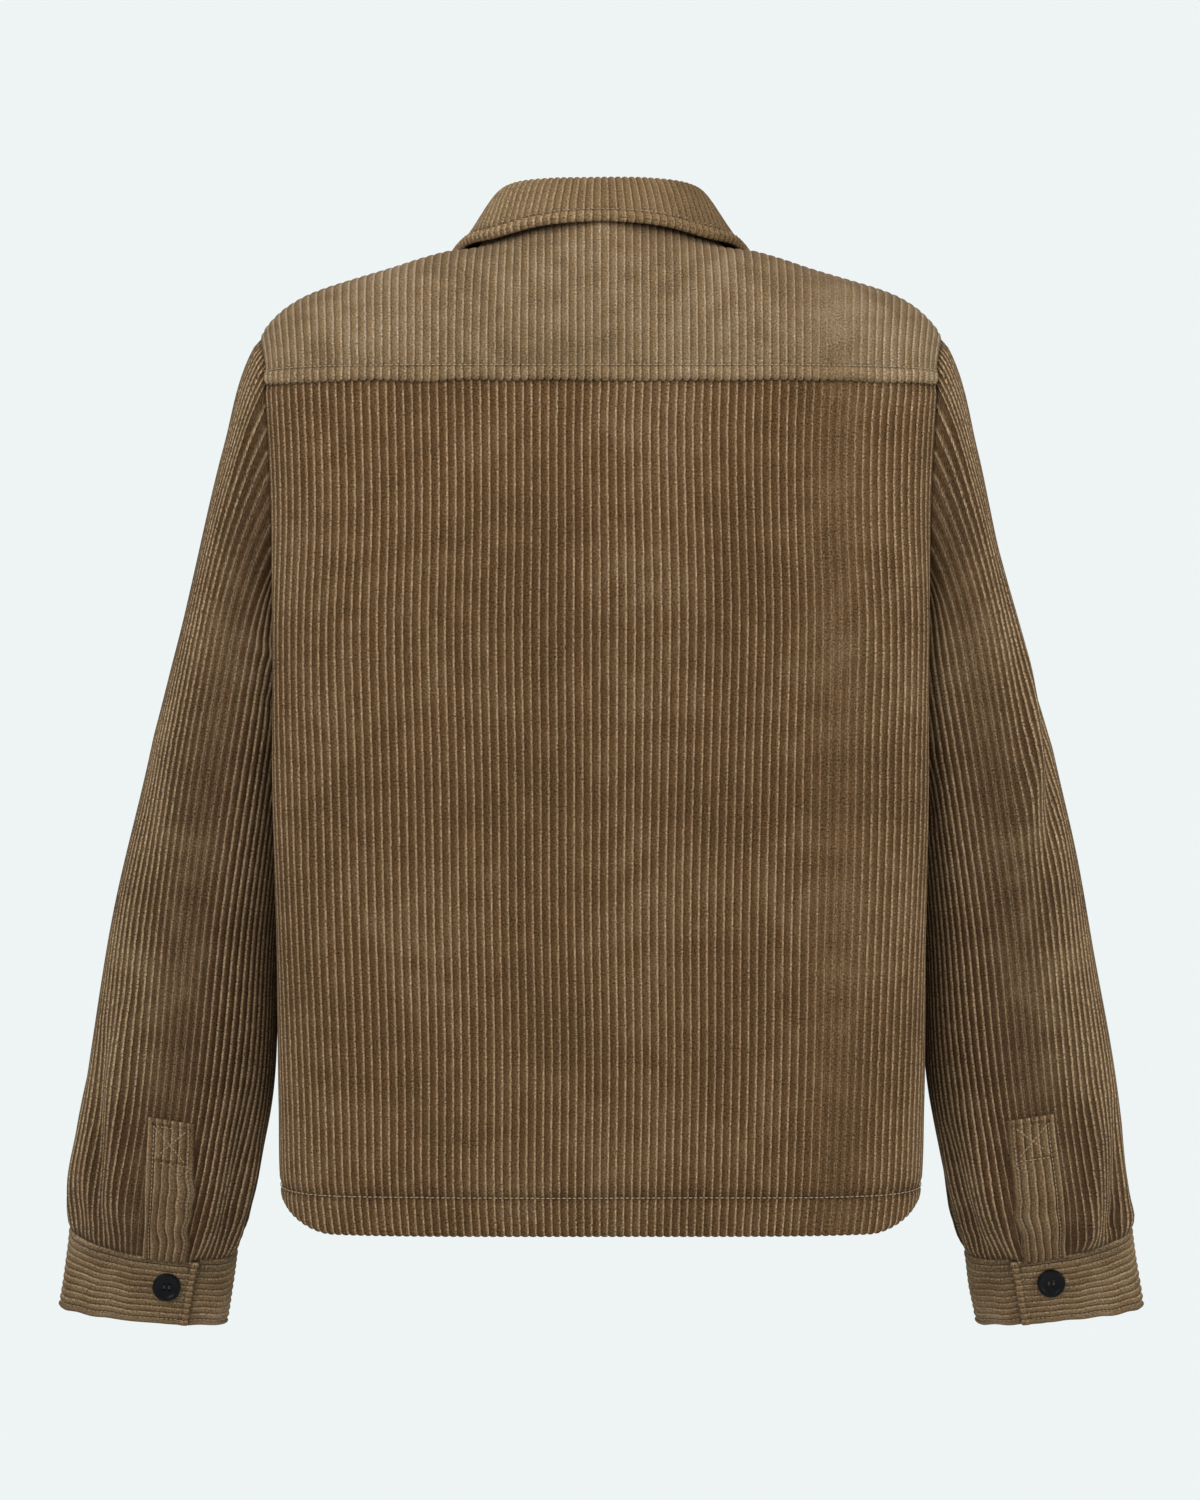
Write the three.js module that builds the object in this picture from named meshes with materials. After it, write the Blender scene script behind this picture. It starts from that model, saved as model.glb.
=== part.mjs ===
import * as THREE from 'three';

// Corduroy shacket, filled out as when it is worn, buttoned, with its sleeves hanging.
// Millimetres, +Z up, front towards -Y, the wearer's left towards +X.
// The origin is between the shoulders, level with the side of the neck.

const { clamp, degToRad, lerp, smoothstep } = THREE.MathUtils;

// Cloth and wales
const CLOTH = 1.6;
const WALE_HEIGHT = 1.1;
const SEAM_GAP = 0.35;
const UNDERARM_GAP = 0.8;
const DOUBLE_CLOTH = 3;
const COLLAR_CLOTH = 2.4;
const WALES_PER_CELL = 4;

// Heights of the body's seams
const HEM_Z = -649;
const HEM_DEPTH = 25;
const SIDE_RISE = 20;
const UNDERARM_Z = -258;
const ARMHOLE_BEND_Z = -158;
const CHEST_Z = -170;
const YOKE_Z = -95;

// Numbers of wales, and the columns where the armholes and the neck begin
const BACK_WALES = 104;
const FRONT_WALES = 56;
const YOKE_WALES = 88;
const NECK_WALES = 32;
const SLEEVE_WALES = 72;
const CUFF_WALES = 9;
const COLLAR_WALES = 72;
const PLACKET_WALES = 6;
const FRONT_LAP = 0.055;
const BACK_ARM = 83 / BACK_WALES;
const FRONT_ARM = lerp(-FRONT_LAP, 1, 88 / (2 * FRONT_WALES));
const NECK_SHARE = NECK_WALES / YOKE_WALES;

// Shoulder line and neck opening
const SHOULDER_Y = -5;
const FRONT_SEAM_Y = -45;
const NECK_BACK = 63;
const NECK_FRONT_Y = -88;
const WELT = { depth: 9, height: 1 };
const SHOULDER_LINE = [
  { x: 0, z: 43 },
  { x: 40, z: 23 },
  { x: 76, z: 2 },
  { x: 101, z: -2.5 },
  { x: 120, z: -7.5 },
  { x: 141, z: -14 },
  { x: 187, z: -27 },
  { x: 208, z: -37 },
  { x: 221, z: -49 },
  { x: 228, z: -60 },
];

// Plan of the body at each height, as half width, depths from the side seam and
// how far the hanging arms press the sides in
const SIDE_Y = -6;
const BODY = [
  { z: -649, half: 209, back: 86, front: 86, pressed: 0 },
  { z: -622, half: 212, back: 88, front: 88, pressed: 0 },
  { z: -570, half: 214, back: 89, front: 90, pressed: 1 },
  { z: -435, half: 219, back: 91, front: 93, pressed: 11 },
  { z: -355, half: 222, back: 92, front: 94, pressed: 21 },
  { z: -302, half: 223, back: 92, front: 95, pressed: 28 },
  { z: -258, half: 223, back: 93, front: 96, pressed: 27 },
  { z: -180, half: 222, back: 93, front: 96, pressed: 12 },
  { z: -95, half: 226, back: 92, front: 94, pressed: 0 },
];
const PRESS = { y: -19, reach: 56 };
const BACK_POWER = 4.5;
const FRONT_POWER = 3.6;

// Rings of the left sleeve and its cuff, by the height of their centre
const SLEEVE_POWER = 2.3;
const SLEEVE = [
  { z: -722, x: 314, y: -50, wide: 57, deep: 24, tilt: 6, pitch: 0 },
  { z: -669, x: 305.5, y: -46, wide: 57, deep: 25, tilt: 8.5, pitch: 18 },
  { z: -642, x: 300.5, y: -41, wide: 59, deep: 38, tilt: 8.5, pitch: 12 },
  { z: -573, x: 287.5, y: -32, wide: 62, deep: 46, tilt: 9, pitch: 5 },
  { z: -435, x: 270.5, y: -25, wide: 54, deep: 61, tilt: 12, pitch: 2 },
  { z: -355, x: 258, y: -22, wide: 49, deep: 68, tilt: 13, pitch: 1 },
  { z: -272, x: 243.5, y: -22, wide: 43, deep: 70, tilt: 14, pitch: 0 },
];
const BICEPS_Z = -272;
const CAP_BULGE = 3;
const CUFF_TOP_Z = -669;
const CUFF_BOTTOM_Z = -722;
const SLEEVE_ROWS = [0, 0.45, 1, BICEPS_Z - 163, BICEPS_Z - 301, BICEPS_Z - 370, CUFF_TOP_Z];

// Where the sleeve's wales meet the armhole, as shares from the shoulder to the underarm
const CAP = [
  { wale: 0, armhole: 0 },
  { wale: 3 / 9, armhole: 0.28 },
  { wale: 5 / 9, armhole: 0.72 },
  { wale: 1, armhole: 1 },
];

// Soft folds of each sleeve, from one height to another; around is the share of the
// half girth from the outer line, towards the back
const LEFT_FOLDS = [
  { top: -300, foot: -560, around: 0.3, footAround: 0.42, reach: 0.06, height: -2.2 },
  { top: -586, foot: -684, around: 0.3, footAround: 0.36, reach: 0.05, height: 2.4 },
  { top: -596, foot: -684, around: 0.68, footAround: 0.66, reach: 0.05, height: 2.6 },
  { top: -586, foot: -684, around: -0.5, footAround: -0.5, reach: 0.06, height: 2.4 },
];
const RIGHT_FOLDS = [
  { top: -280, foot: -520, around: 0.42, footAround: 0.34, reach: 0.06, height: 3 },
  { top: -586, foot: -684, around: 0.32, footAround: 0.38, reach: 0.05, height: 2.4 },
  { top: -596, foot: -684, around: 0.68, footAround: 0.66, reach: 0.05, height: 2.6 },
  { top: -586, foot: -684, around: -0.5, footAround: -0.5, reach: 0.06, height: 2.4 },
];

// Cuff's lap, sleeve placket and buttons; each wrist is lapped in its own place
const CUFF = { lap: 42, lift: 3.2, rows: 18 };
const WRISTS = {
  left: { lapEdge: 131, buttonTurn: 0.054, buttonDown: 0.4, placketShift: 0 },
  right: { lapEdge: 125, buttonTurn: 0.073, buttonDown: 0.37, placketShift: -0.033 },
};
const PLACKET = { from: 0.425, to: 0.603, footFrom: 0.476, footTo: 0.682, top: -580, foot: -666, lift: 0.6 };
const BUTTON = { radius: 9.5, thick: 3, sides: 14, holeRadius: 1, holePlace: 2.4, holeSides: 6 };
const FRONT_BUTTONS = { count: 6, top: -150, pitch: 86 };
const LAP_LIFT = 4.6;

// Collar's fold and outer edge at equal steps from the centre back to its front end
const COLLAR = [
  { foldX: 0, foldY: 47, foldZ: 39, edgeX: 0, edgeY: 69, edgeZ: 9.5 },
  { foldX: 29, foldY: 43, foldZ: 39.5, edgeX: 38, edgeY: 64, edgeZ: 7.5 },
  { foldX: 54, foldY: 26, foldZ: 39, edgeX: 71, edgeY: 46, edgeZ: 2 },
  { foldX: 65, foldY: -2, foldZ: 32, edgeX: 95, edgeY: 6, edgeZ: 2.4 },
  { foldX: 61, foldY: -40, foldZ: 14, edgeX: 105, edgeY: -42, edgeZ: -7.5 },
  { foldX: 40, foldY: -68, foldZ: -11, edgeX: 93, edgeY: -81, edgeZ: -52 },
  { foldX: 3, foldY: -79, foldZ: -31, edgeX: 52, edgeY: -102, edgeZ: -88 },
];
const COLLAR_ROLL = { out: 7, up: 2 };
const STAND_BELOW_FOLD = 4;

const CORDUROY = { color: 0x664f37, roughness: 0.95, metalness: 0 };
const BUTTON_HORN = { color: 0x191b1c, roughness: 0.4, metalness: 0 };

// A table's values between two of its rows
function rowAt(table, key, value) {
  let upper = 1;
  while (upper < table.length - 1 && table[upper][key] < value) upper += 1;
  const below = table[upper - 1];
  const above = table[upper];
  const share = clamp((value - below[key]) / (above[key] - below[key]), 0, 1);
  const names = Object.keys(below);
  return Object.fromEntries(names.map((name) => [name, lerp(below[name], above[name], share)]));
}

// The value at a share of the length of a line of points
function alongLine(points, share, valueOf = (point) => point) {
  const lengths = [0];
  for (let i = 1; i < points.length; i += 1) {
    lengths.push(lengths[i - 1] + points[i].distanceTo(points[i - 1]));
  }
  const wanted = clamp(share, 0, 1) * lengths[lengths.length - 1];
  let next = 1;
  while (next < points.length - 1 && lengths[next] < wanted) next += 1;
  const part = (wanted - lengths[next - 1]) / (lengths[next] - lengths[next - 1]);
  return valueOf(points[next - 1], next - 1).clone().lerp(valueOf(points[next], next), part);
}

// Outward normal of a surface of two parameters; side is 1 or -1
function normalOf(surface, a, b, side, stepA = 0.004, stepB = 0.004) {
  const alongA = surface(a + stepA, b).sub(surface(a - stepA, b));
  const alongB = surface(a, b + stepB).sub(surface(a, b - stepB));
  return alongA.cross(alongB).normalize().multiplyScalar(side);
}

// A closed wall of cloth. The outer side has fine columns, the inner side one column for
// each cell. The outer and inner points are functions of a column and a row.
function clothWall({ cells, fine, rows, outer, inner, has = () => true, closed = false }) {
  const positions = [];
  const faces = [];
  const indices = new Map();
  const columns = cells * fine;
  const indexOf = (place, column, row) => {
    const wrapped = closed ? column % columns : column;
    const key = `${place === outer} ${wrapped} ${row}`;
    if (!indices.has(key)) {
      indices.set(key, positions.length / 3);
      positions.push(...place(wrapped, row).toArray());
    }
    return indices.get(key);
  };
  const present = (cell, row) => {
    const wrapped = closed ? (cell + cells) % cells : cell;
    return wrapped >= 0 && wrapped < cells && row >= 0 && row < rows && has(wrapped, row);
  };
  // Joins the fine edge of a row to the two inner points of the same cell
  const rim = (cell, row, turned) => {
    const first = cell * fine;
    const middle = first + Math.floor(fine / 2);
    const start = indexOf(inner, first, row);
    const end = indexOf(inner, first + fine, row);
    const add = (a, b, c) => faces.push(...(turned ? [a, c, b] : [a, b, c]));
    for (let column = first; column < first + fine; column += 1) {
      const near = column < middle ? start : end;
      add(indexOf(outer, column + 1, row), indexOf(outer, column, row), near);
    }
    add(indexOf(outer, middle, row), start, end);
  };
  const sideFace = (column, row, turned) => {
    const low = indexOf(outer, column, row);
    const high = indexOf(outer, column, row + 1);
    const innerLow = indexOf(inner, column, row);
    const innerHigh = indexOf(inner, column, row + 1);
    if (turned) faces.push(high, low, innerLow, high, innerLow, innerHigh);
    else faces.push(low, high, innerHigh, low, innerHigh, innerLow);
  };
  const quad = (place, from, to, row, turned) => {
    const a = indexOf(place, from, row);
    const b = indexOf(place, to, row);
    const c = indexOf(place, to, row + 1);
    const d = indexOf(place, from, row + 1);
    if (turned) faces.push(a, c, b, a, d, c);
    else faces.push(a, b, c, a, c, d);
  };
  for (let row = 0; row < rows; row += 1) {
    for (let cell = 0; cell < cells; cell += 1) {
      if (!present(cell, row)) continue;
      const first = cell * fine;
      for (let step = 0; step < fine; step += 1) {
        quad(outer, first + step, first + step + 1, row, false);
      }
      quad(inner, first, first + fine, row, true);
      if (!present(cell, row - 1)) rim(cell, row, false);
      if (!present(cell, row + 1)) rim(cell, row + 1, true);
      if (!present(cell - 1, row)) sideFace(first, row, false);
      if (!present(cell + 1, row)) sideFace(first + fine, row, true);
    }
  }
  const geometry = new THREE.BufferGeometry();
  geometry.setAttribute('position', new THREE.Float32BufferAttribute(positions, 3));
  geometry.setIndex(facingOut(positions, faces));
  return geometry;
}

// Turns every face over when the wall's volume comes out below zero
function facingOut(positions, faces) {
  const corner = (index) => new THREE.Vector3().fromArray(positions, 3 * index);
  let volume = 0;
  for (let i = 0; i < faces.length; i += 3) {
    const [a, b, c] = [corner(faces[i]), corner(faces[i + 1]), corner(faces[i + 2])];
    volume += a.dot(b.cross(c));
  }
  if (volume > 0) return faces;
  return faces.map((value, i) => (i % 3 === 0 ? value : faces[i % 3 === 1 ? i + 1 : i - 1]));
}

// Height of the wale at a fine column: grooves on even columns, crests on odd ones
const waleAt = (column) => (column % 2) * WALE_HEIGHT;

// Plan of a rounded oblong, from the middle of its face to its side, by arc length
const planCache = new Map();
function planLine(z, isBack) {
  const key = `${z.toFixed(4)} ${isBack}`;
  if (planCache.has(key)) return planCache.get(key);
  const { half, back, front, pressed } = rowAt([...BODY], 'z', z);
  const depth = isBack ? back : front;
  const power = isBack ? BACK_POWER : FRONT_POWER;
  const steps = 200;
  const points = [];
  for (let i = 0; i <= steps; i += 1) {
    const angle = (Math.PI / 2) * (1 - i / steps);
    const [c, s] = [Math.cos(angle), Math.sin(angle)];
    const radius = ((c / half) ** power + (s / depth) ** power) ** (-1 / power);
    const y = SIDE_Y + radius * s * (isBack ? 1 : -1);
    const dent = pressed * Math.exp(-(((y - PRESS.y) / PRESS.reach) ** 4));
    points.push(new THREE.Vector3(radius * c - dent, y, z));
  }
  planCache.set(key, points);
  return points;
}

// Points of the body below the shoulders; a negative share is on the wearer's right
function bodyPoint(share, z, isBack) {
  const point = alongLine(planLine(z, isBack), Math.abs(share));
  point.x *= Math.sign(share) || 1;
  return point;
}

const backPoint = (share, z) => bodyPoint(share, z, true);

const shoulderCurve = new THREE.CatmullRomCurve3(
  SHOULDER_LINE.map(({ x, z }) => new THREE.Vector3(x, SHOULDER_Y, z)),
);

// The shoulder from the yoke's seam up to the shoulder line, back or front. The turn goes
// from 0 at the seam or chest to a quarter turn on the shoulder line.
function shoulderPoint(share, turn, isBack) {
  const place = Math.abs(share);
  const from = isBack ? backPoint(place * BACK_ARM, YOKE_Z) : bodyPoint(place * FRONT_ARM, CHEST_Z, false);
  const ridge = shoulderCurve.getPointAt(clamp(place, 0, 1));
  const rise = Math.sin(turn);
  const x = lerp(from.x, ridge.x, rise * rise);
  const y = ridge.y + (from.y - ridge.y) * Math.cos(turn);
  const z = lerp(from.z, ridge.z, rise);
  return new THREE.Vector3(x * (Math.sign(share) || 1), y, z);
}

// The turn at which the shoulder, front or back, reaches a depth
function turnAtDepth(share, y, isBack) {
  const low = shoulderPoint(Math.abs(share), 0, isBack).y;
  return Math.acos(clamp((y - SHOULDER_Y) / (low - SHOULDER_Y), 0, 1));
}

// Armhole below its bend, as a height for each share beyond the armhole's column
function armholeHeight(share, start) {
  const left = 1 - clamp((share - start) / (1 - start), 0, 1);
  return lerp(ARMHOLE_BEND_Z, UNDERARM_Z, Math.sqrt(1 - left * left));
}

const hemCorner = (share) => smoothstep(Math.abs(share), 0.66, 0.9);
const hemHeight = (share) => HEM_Z + SIDE_RISE * hemCorner(share);
const hemDepth = (share) => lerp(HEM_DEPTH, 9, hemCorner(share));

// Height on a panel's column, from the hem, over the hem's stitching, to the column's top
function columnHeight(share, top, rowShares, row) {
  const foot = hemHeight(share);
  const stitched = foot + hemDepth(share);
  return row === 0 ? foot : lerp(stitched, top, rowShares[row - 1]);
}

const BACK_ROWS = [0, 0.3, 0.62, 0.86, 1];
const FRONT_ROWS = [0, 0.42, 0.8, 0.91, 1];
const clothAt = (row) => (row < 2 ? DOUBLE_CLOTH : CLOTH);
const offset = (point, normal, distance) => point.clone().addScaledVector(normal, distance);

// Back panel, in one piece from side seam to side seam
const backTop = (share) => {
  const place = Math.abs(share);
  return place <= BACK_ARM + 1e-6 ? YOKE_Z - SEAM_GAP : armholeHeight(place, BACK_ARM) - SEAM_GAP;
};

const SIDE_GAP_SHARE = SEAM_GAP / 2 / 283;

function backGeometry() {
  const columns = 2 * BACK_WALES;
  const rows = BACK_ROWS.length;
  const shareOf = (column) => lerp(-1, 1, column / columns) * (1 - SIDE_GAP_SHARE);
  const place = (column, row) => {
    const share = shareOf(column);
    const z = columnHeight(share, backTop(share), BACK_ROWS, row);
    return { point: backPoint(share, z), normal: normalOf(backPoint, share, z, -1, 0.004, 2) };
  };
  return clothWall({
    cells: BACK_WALES / WALES_PER_CELL,
    fine: 2 * WALES_PER_CELL,
    rows,
    outer: (column, row) => {
      const { point, normal } = place(column, row);
      const atArmhole = row === rows && Math.abs(shareOf(column)) > BACK_ARM;
      return offset(point, normal, atArmhole ? 0 : waleAt(column));
    },
    inner: (column, row) => {
      const { point, normal } = place(column, row);
      return offset(point, normal, -clothAt(row));
    },
  });
}

// Fronts: up the chest to its fullest height, then back towards the shoulder line
const CHEST_TURN = 100;
function frontPoint(share, height) {
  if (height <= CHEST_Z) return bodyPoint(share, height, false);
  return shoulderPoint(share / FRONT_ARM, (height - CHEST_Z) / CHEST_TURN, false);
}

const frontNeckShare = NECK_SHARE * FRONT_ARM;

function frontTop(share) {
  const place = Math.abs(share);
  if (place > FRONT_ARM + 1e-6) return armholeHeight(place, FRONT_ARM) - SEAM_GAP;
  const roundness = Math.sqrt(Math.max(0, 1 - (place / frontNeckShare) ** 2));
  const y = lerp(FRONT_SEAM_Y, NECK_FRONT_Y, place < frontNeckShare ? roundness : 0) - SEAM_GAP;
  return CHEST_Z + CHEST_TURN * turnAtDepth(place / FRONT_ARM, y, false);
}

// The front's flat faces at a height, between the rows of its column
function frontFace(share, z) {
  const top = frontTop(share);
  const heights = [0, ...FRONT_ROWS].map((_, row) => columnHeight(share, top, FRONT_ROWS, row));
  const rows = heights.map((height) => frontPoint(share, height));
  let upper = 1;
  while (upper < rows.length - 1 && rows[upper].z < z) upper += 1;
  const [low, high] = [rows[upper - 1], rows[upper]];
  return low.clone().lerp(high, (z - low.z) / (high.z - low.z));
}

function frontGeometry(side, lapLift) {
  const columns = 2 * FRONT_WALES;
  const rows = FRONT_ROWS.length;
  const shareOf = (column) => lerp(-FRONT_LAP, 1 - SIDE_GAP_SHARE, column / columns);
  const lapAt = (column) => lapLift * (1 - smoothstep(shareOf(column), 0.06, 0.16));
  const mirrored = (share, height) => {
    const point = frontPoint(share, height);
    point.x *= side;
    return point;
  };
  const place = (column, row) => {
    const share = shareOf(column);
    const height = columnHeight(share, frontTop(share), FRONT_ROWS, row);
    const normal = normalOf(mirrored, share, height, side, 0.004, 2);
    return { point: mirrored(share, height), normal };
  };
  return clothWall({
    cells: FRONT_WALES / WALES_PER_CELL,
    fine: 2 * WALES_PER_CELL,
    rows,
    outer: (column, row) => {
      const { point, normal } = place(column, row);
      const atArmhole = row === rows && shareOf(column) > FRONT_ARM;
      return offset(point, normal, lapAt(column) + (atArmhole ? 0 : waleAt(column)));
    },
    inner: (column, row) => {
      const { point, normal } = place(column, row);
      return offset(point, normal, lapAt(column) - clothAt(row));
    },
  });
}

// Yoke: from the raised band over the back seam, over both shoulders, to the front seam
const YOKE_BACK_ROWS = 4;
const YOKE_ROWS = 6;

function yokeTurn(share, row) {
  const place = Math.abs(share);
  const inNeck = place < NECK_SHARE - 1e-6;
  const neckY = SHOULDER_Y + NECK_BACK * Math.sqrt(Math.max(0, 1 - (place / NECK_SHARE) ** 2));
  const end = inNeck ? turnAtDepth(place, neckY, true) : Math.PI / 2;
  const height = shoulderCurve.getPointAt(clamp(place, 0, 1)).z - YOKE_Z;
  const welt = WELT.depth / height;
  return row === 0 ? 0 : lerp(welt, end, (row - 1) / (YOKE_BACK_ROWS - 1));
}

// One surface over the shoulder: up to one on the back, beyond one on the front
function overShoulder(share, around) {
  const quarter = Math.PI / 2;
  if (around <= quarter) return shoulderPoint(share, around, true);
  return shoulderPoint(share, 2 * quarter - around, false);
}

function yokePlace(share, row) {
  const seam = turnAtDepth(share, FRONT_SEAM_Y, false);
  const beyond = (row - YOKE_BACK_ROWS) / (YOKE_ROWS - YOKE_BACK_ROWS);
  const around = row <= YOKE_BACK_ROWS
    ? yokeTurn(share, row)
    : lerp(Math.PI / 2, Math.PI - seam, beyond);
  const normal = normalOf(overShoulder, share, Math.max(around, 0.02), -1, 0.004, 0.02);
  return { point: overShoulder(share, around), normal };
}

function yokeGeometry() {
  const columns = 2 * YOKE_WALES;
  const cells = YOKE_WALES / WALES_PER_CELL;
  const neckCells = NECK_WALES / WALES_PER_CELL;
  const firstNeckCell = (cells - neckCells) / 2;
  const place = (column, row) => yokePlace(lerp(-1, 1, column / columns), row);
  return clothWall({
    cells,
    fine: 2 * WALES_PER_CELL,
    rows: YOKE_ROWS,
    has: (cell, row) => row < YOKE_BACK_ROWS || cell < firstNeckCell || cell >= firstNeckCell + neckCells,
    outer: (column, row) => {
      const { point, normal } = place(column, row);
      return offset(point, normal, waleAt(column) + (row < 2 ? WELT.height : 0));
    },
    inner: (column, row) => {
      const { point, normal } = place(column, row);
      return offset(point, normal, -CLOTH);
    },
  });
}

// Half an armhole, from the shoulder line to the underarm, with the body's own normals
function armholeHalf(isBack) {
  const points = [];
  const normals = [];
  const lastRow = isBack ? 0 : YOKE_ROWS;
  const rowStep = isBack ? -1 : 1;
  for (let row = YOKE_BACK_ROWS; row !== lastRow + rowStep; row += rowStep) {
    points.push(yokePlace(1, row).point);
    normals.push(yokePlace(0.995, row).normal);
  }
  const start = isBack ? BACK_ARM : FRONT_ARM;
  const waleShare = isBack ? 1 / BACK_WALES : (1 + FRONT_LAP) / (2 * FRONT_WALES);
  const panel = isBack ? backPoint : frontPoint;
  for (let share = start + waleShare; share < 1 + waleShare / 2; share += waleShare) {
    const place = Math.min(share, 1);
    const z = armholeHeight(place, start);
    points.push(panel(place, z));
    normals.push(normalOf(panel, Math.min(place, 0.995), z, isBack ? -1 : 1, 0.004, 2));
  }
  return { points, normals };
}

const armholeHalves = { back: armholeHalf(true), front: armholeHalf(false) };

// Ring of the sleeve or cuff at a height; around runs from -1 over 0, the outer line, to 1
function ringPoint(around, z, grow = 0) {
  const { x, y, wide, deep, tilt, pitch } = rowAt(SLEEVE, 'z', z);
  const steps = 48;
  const points = [];
  for (let i = 0; i <= steps; i += 1) {
    const angle = (Math.PI * i) / steps;
    const [c, s] = [Math.cos(angle), Math.sin(angle)];
    const [w, d] = [wide + grow, deep + grow];
    const radius = ((Math.abs(c) / w) ** SLEEVE_POWER + (s / d) ** SLEEVE_POWER) ** (-1 / SLEEVE_POWER);
    points.push(new THREE.Vector3(radius * c, radius * s, 0));
  }
  const flat = alongLine(points, Math.abs(around));
  const back = flat.y * (around < 0 ? -1 : 1);
  const lift = flat.x * Math.sin(degToRad(tilt)) - back * Math.sin(degToRad(pitch));
  return new THREE.Vector3(x + flat.x * Math.cos(degToRad(tilt)), y + back, z + lift);
}

function armholeNormal(around) {
  const half = around < 0 ? armholeHalves.front : armholeHalves.back;
  const share = rowAt(CAP, 'wale', Math.abs(around)).armhole;
  return alongLine(half.points, share, (point, index) => half.normals[index]).normalize();
}

// Start of a sleeve's wale at the armhole, just clear of the body
function capStart(around) {
  const half = around < 0 ? armholeHalves.front : armholeHalves.back;
  const share = rowAt(CAP, 'wale', Math.abs(around)).armhole;
  const point = alongLine(half.points, share);
  const ahead = alongLine(half.points, Math.min(share + 0.01, 1));
  const behind = alongLine(half.points, Math.max(share - 0.01, 0));
  const seamLine = ahead.sub(behind).normalize();
  const down = ringPoint(around, BICEPS_Z).sub(point).normalize();
  const away = down.addScaledVector(seamLine, -down.dot(seamLine)).normalize();
  const facing = smoothstep(Math.abs(around), 0.3, 0.45);
  const underarm = smoothstep(Math.abs(around), 0.5, 0.85);
  const clear = SEAM_GAP * facing + UNDERARM_GAP * underarm;
  return offset(offset(point, away, SEAM_GAP), armholeNormal(around), clear);
}

// Left sleeve: values from 0 to 1 run down the cap, heights run down the arm below it
function sleevePoint(around, place) {
  const wrapped = around > 1 ? around - 2 : around < -1 ? around + 2 : around;
  if (place <= BICEPS_Z) return ringPoint(wrapped, place);
  const down = clamp(place, 0, 1);
  const point = capStart(wrapped).lerp(ringPoint(wrapped, BICEPS_Z), down);
  return point.setX(point.x + CAP_BULGE * 4 * down * (1 - down));
}

function foldHeight(folds, around, z) {
  let height = 0;
  for (const fold of folds) {
    const share = clamp((z - fold.top) / (fold.foot - fold.top), 0, 1);
    const inside = z <= fold.top && z >= fold.foot ? Math.sin(Math.PI * Math.min(share + 0.02, 1)) : 0;
    const centre = lerp(fold.around, fold.footAround, share);
    height += fold.height * inside * Math.exp(-(((around - centre) / fold.reach) ** 2));
  }
  return height;
}

// Distance along a sleeve's column as one number, so that normals can be taken across rows
function sleeveNormal(around, row) {
  const before = SLEEVE_ROWS[Math.max(row - 1, 0)];
  const after = SLEEVE_ROWS[Math.min(row + 1, SLEEVE_ROWS.length - 1)];
  const here = SLEEVE_ROWS[row];
  const upper = sleevePoint(around, here).lerp(sleevePoint(around, before), row === 0 ? 0 : 0.1);
  const lower = sleevePoint(around, here).lerp(sleevePoint(around, after), 0.1);
  const across = sleevePoint(around + 0.02, here).sub(sleevePoint(around - 0.02, here));
  return across.cross(lower.sub(upper)).normalize().multiplyScalar(-1);
}

function sleevePlace(around, row, folds) {
  const here = SLEEVE_ROWS[row];
  const normal = sleeveNormal(around, row);
  const seam = row === SLEEVE_ROWS.length - 1 ? SEAM_GAP : 0;
  const point = sleevePoint(around, here + seam);
  return { point: offset(point, normal, here < 0 ? foldHeight(folds, around, here) : 0), normal };
}

function sleeveGeometry(side, folds) {
  const columns = 2 * SLEEVE_WALES;
  const rows = SLEEVE_ROWS.length - 1;
  const aroundOf = (column) => lerp(-1, 1, column / columns);
  const turned = (point) => point.set(point.x * side, point.y, point.z);
  const waleShare = (around, row) => {
    if (row === 0 || row === rows) return 0;
    return row === 1 && Math.abs(around) > 0.5 ? 0.3 : 1;
  };
  return clothWall({
    cells: SLEEVE_WALES / WALES_PER_CELL,
    fine: 2 * WALES_PER_CELL,
    rows,
    closed: true,
    outer: (column, row) => {
      const around = aroundOf(column);
      const { point, normal } = sleevePlace(around, row, folds);
      return turned(offset(point, normal, waleAt(column) * waleShare(around, row)));
    },
    inner: (column, row) => {
      const around = aroundOf(column);
      const { point, normal } = sleevePlace(around, row, folds);
      const own = smoothstep(Math.abs(around), 0.3, 0.42);
      const mitre = row === 0 ? armholeNormal(around).lerp(normal, own).normalize() : normal;
      return turned(offset(point, mitre, -CLOTH));
    },
  });
}

// Sleeve placket: a strip on the back of the sleeve, above the cuff, made from its points
function placketGeometry(side, folds, wrist) {
  const columns = 2 * PLACKET_WALES;
  const heights = [PLACKET.top, -642, PLACKET.foot];
  const rest = WALE_HEIGHT + PLACKET.lift;
  const place = (column, row) => {
    const z = heights[row];
    const down = (z - PLACKET.top) / (PLACKET.foot - PLACKET.top);
    const from = lerp(PLACKET.from, PLACKET.footFrom + wrist.placketShift, down);
    const to = lerp(PLACKET.to, PLACKET.footTo + wrist.placketShift, down);
    const around = lerp(from, to, column / columns);
    const normal = normalOf(ringPoint, around, z, 1, 0.01, 4);
    const point = offset(ringPoint(around, z), normal, foldHeight(folds, around, z) + rest);
    return { point, normal };
  };
  const turned = (point) => point.set(point.x * side, point.y, point.z);
  return clothWall({
    cells: 2,
    fine: PLACKET_WALES,
    rows: heights.length - 1,
    outer: (column, row) => {
      const { point, normal } = place(column, row);
      return turned(offset(point, normal, CLOTH + waleAt(column)));
    },
    inner: (column, row) => turned(place(column, row).point),
  });
}

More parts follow.
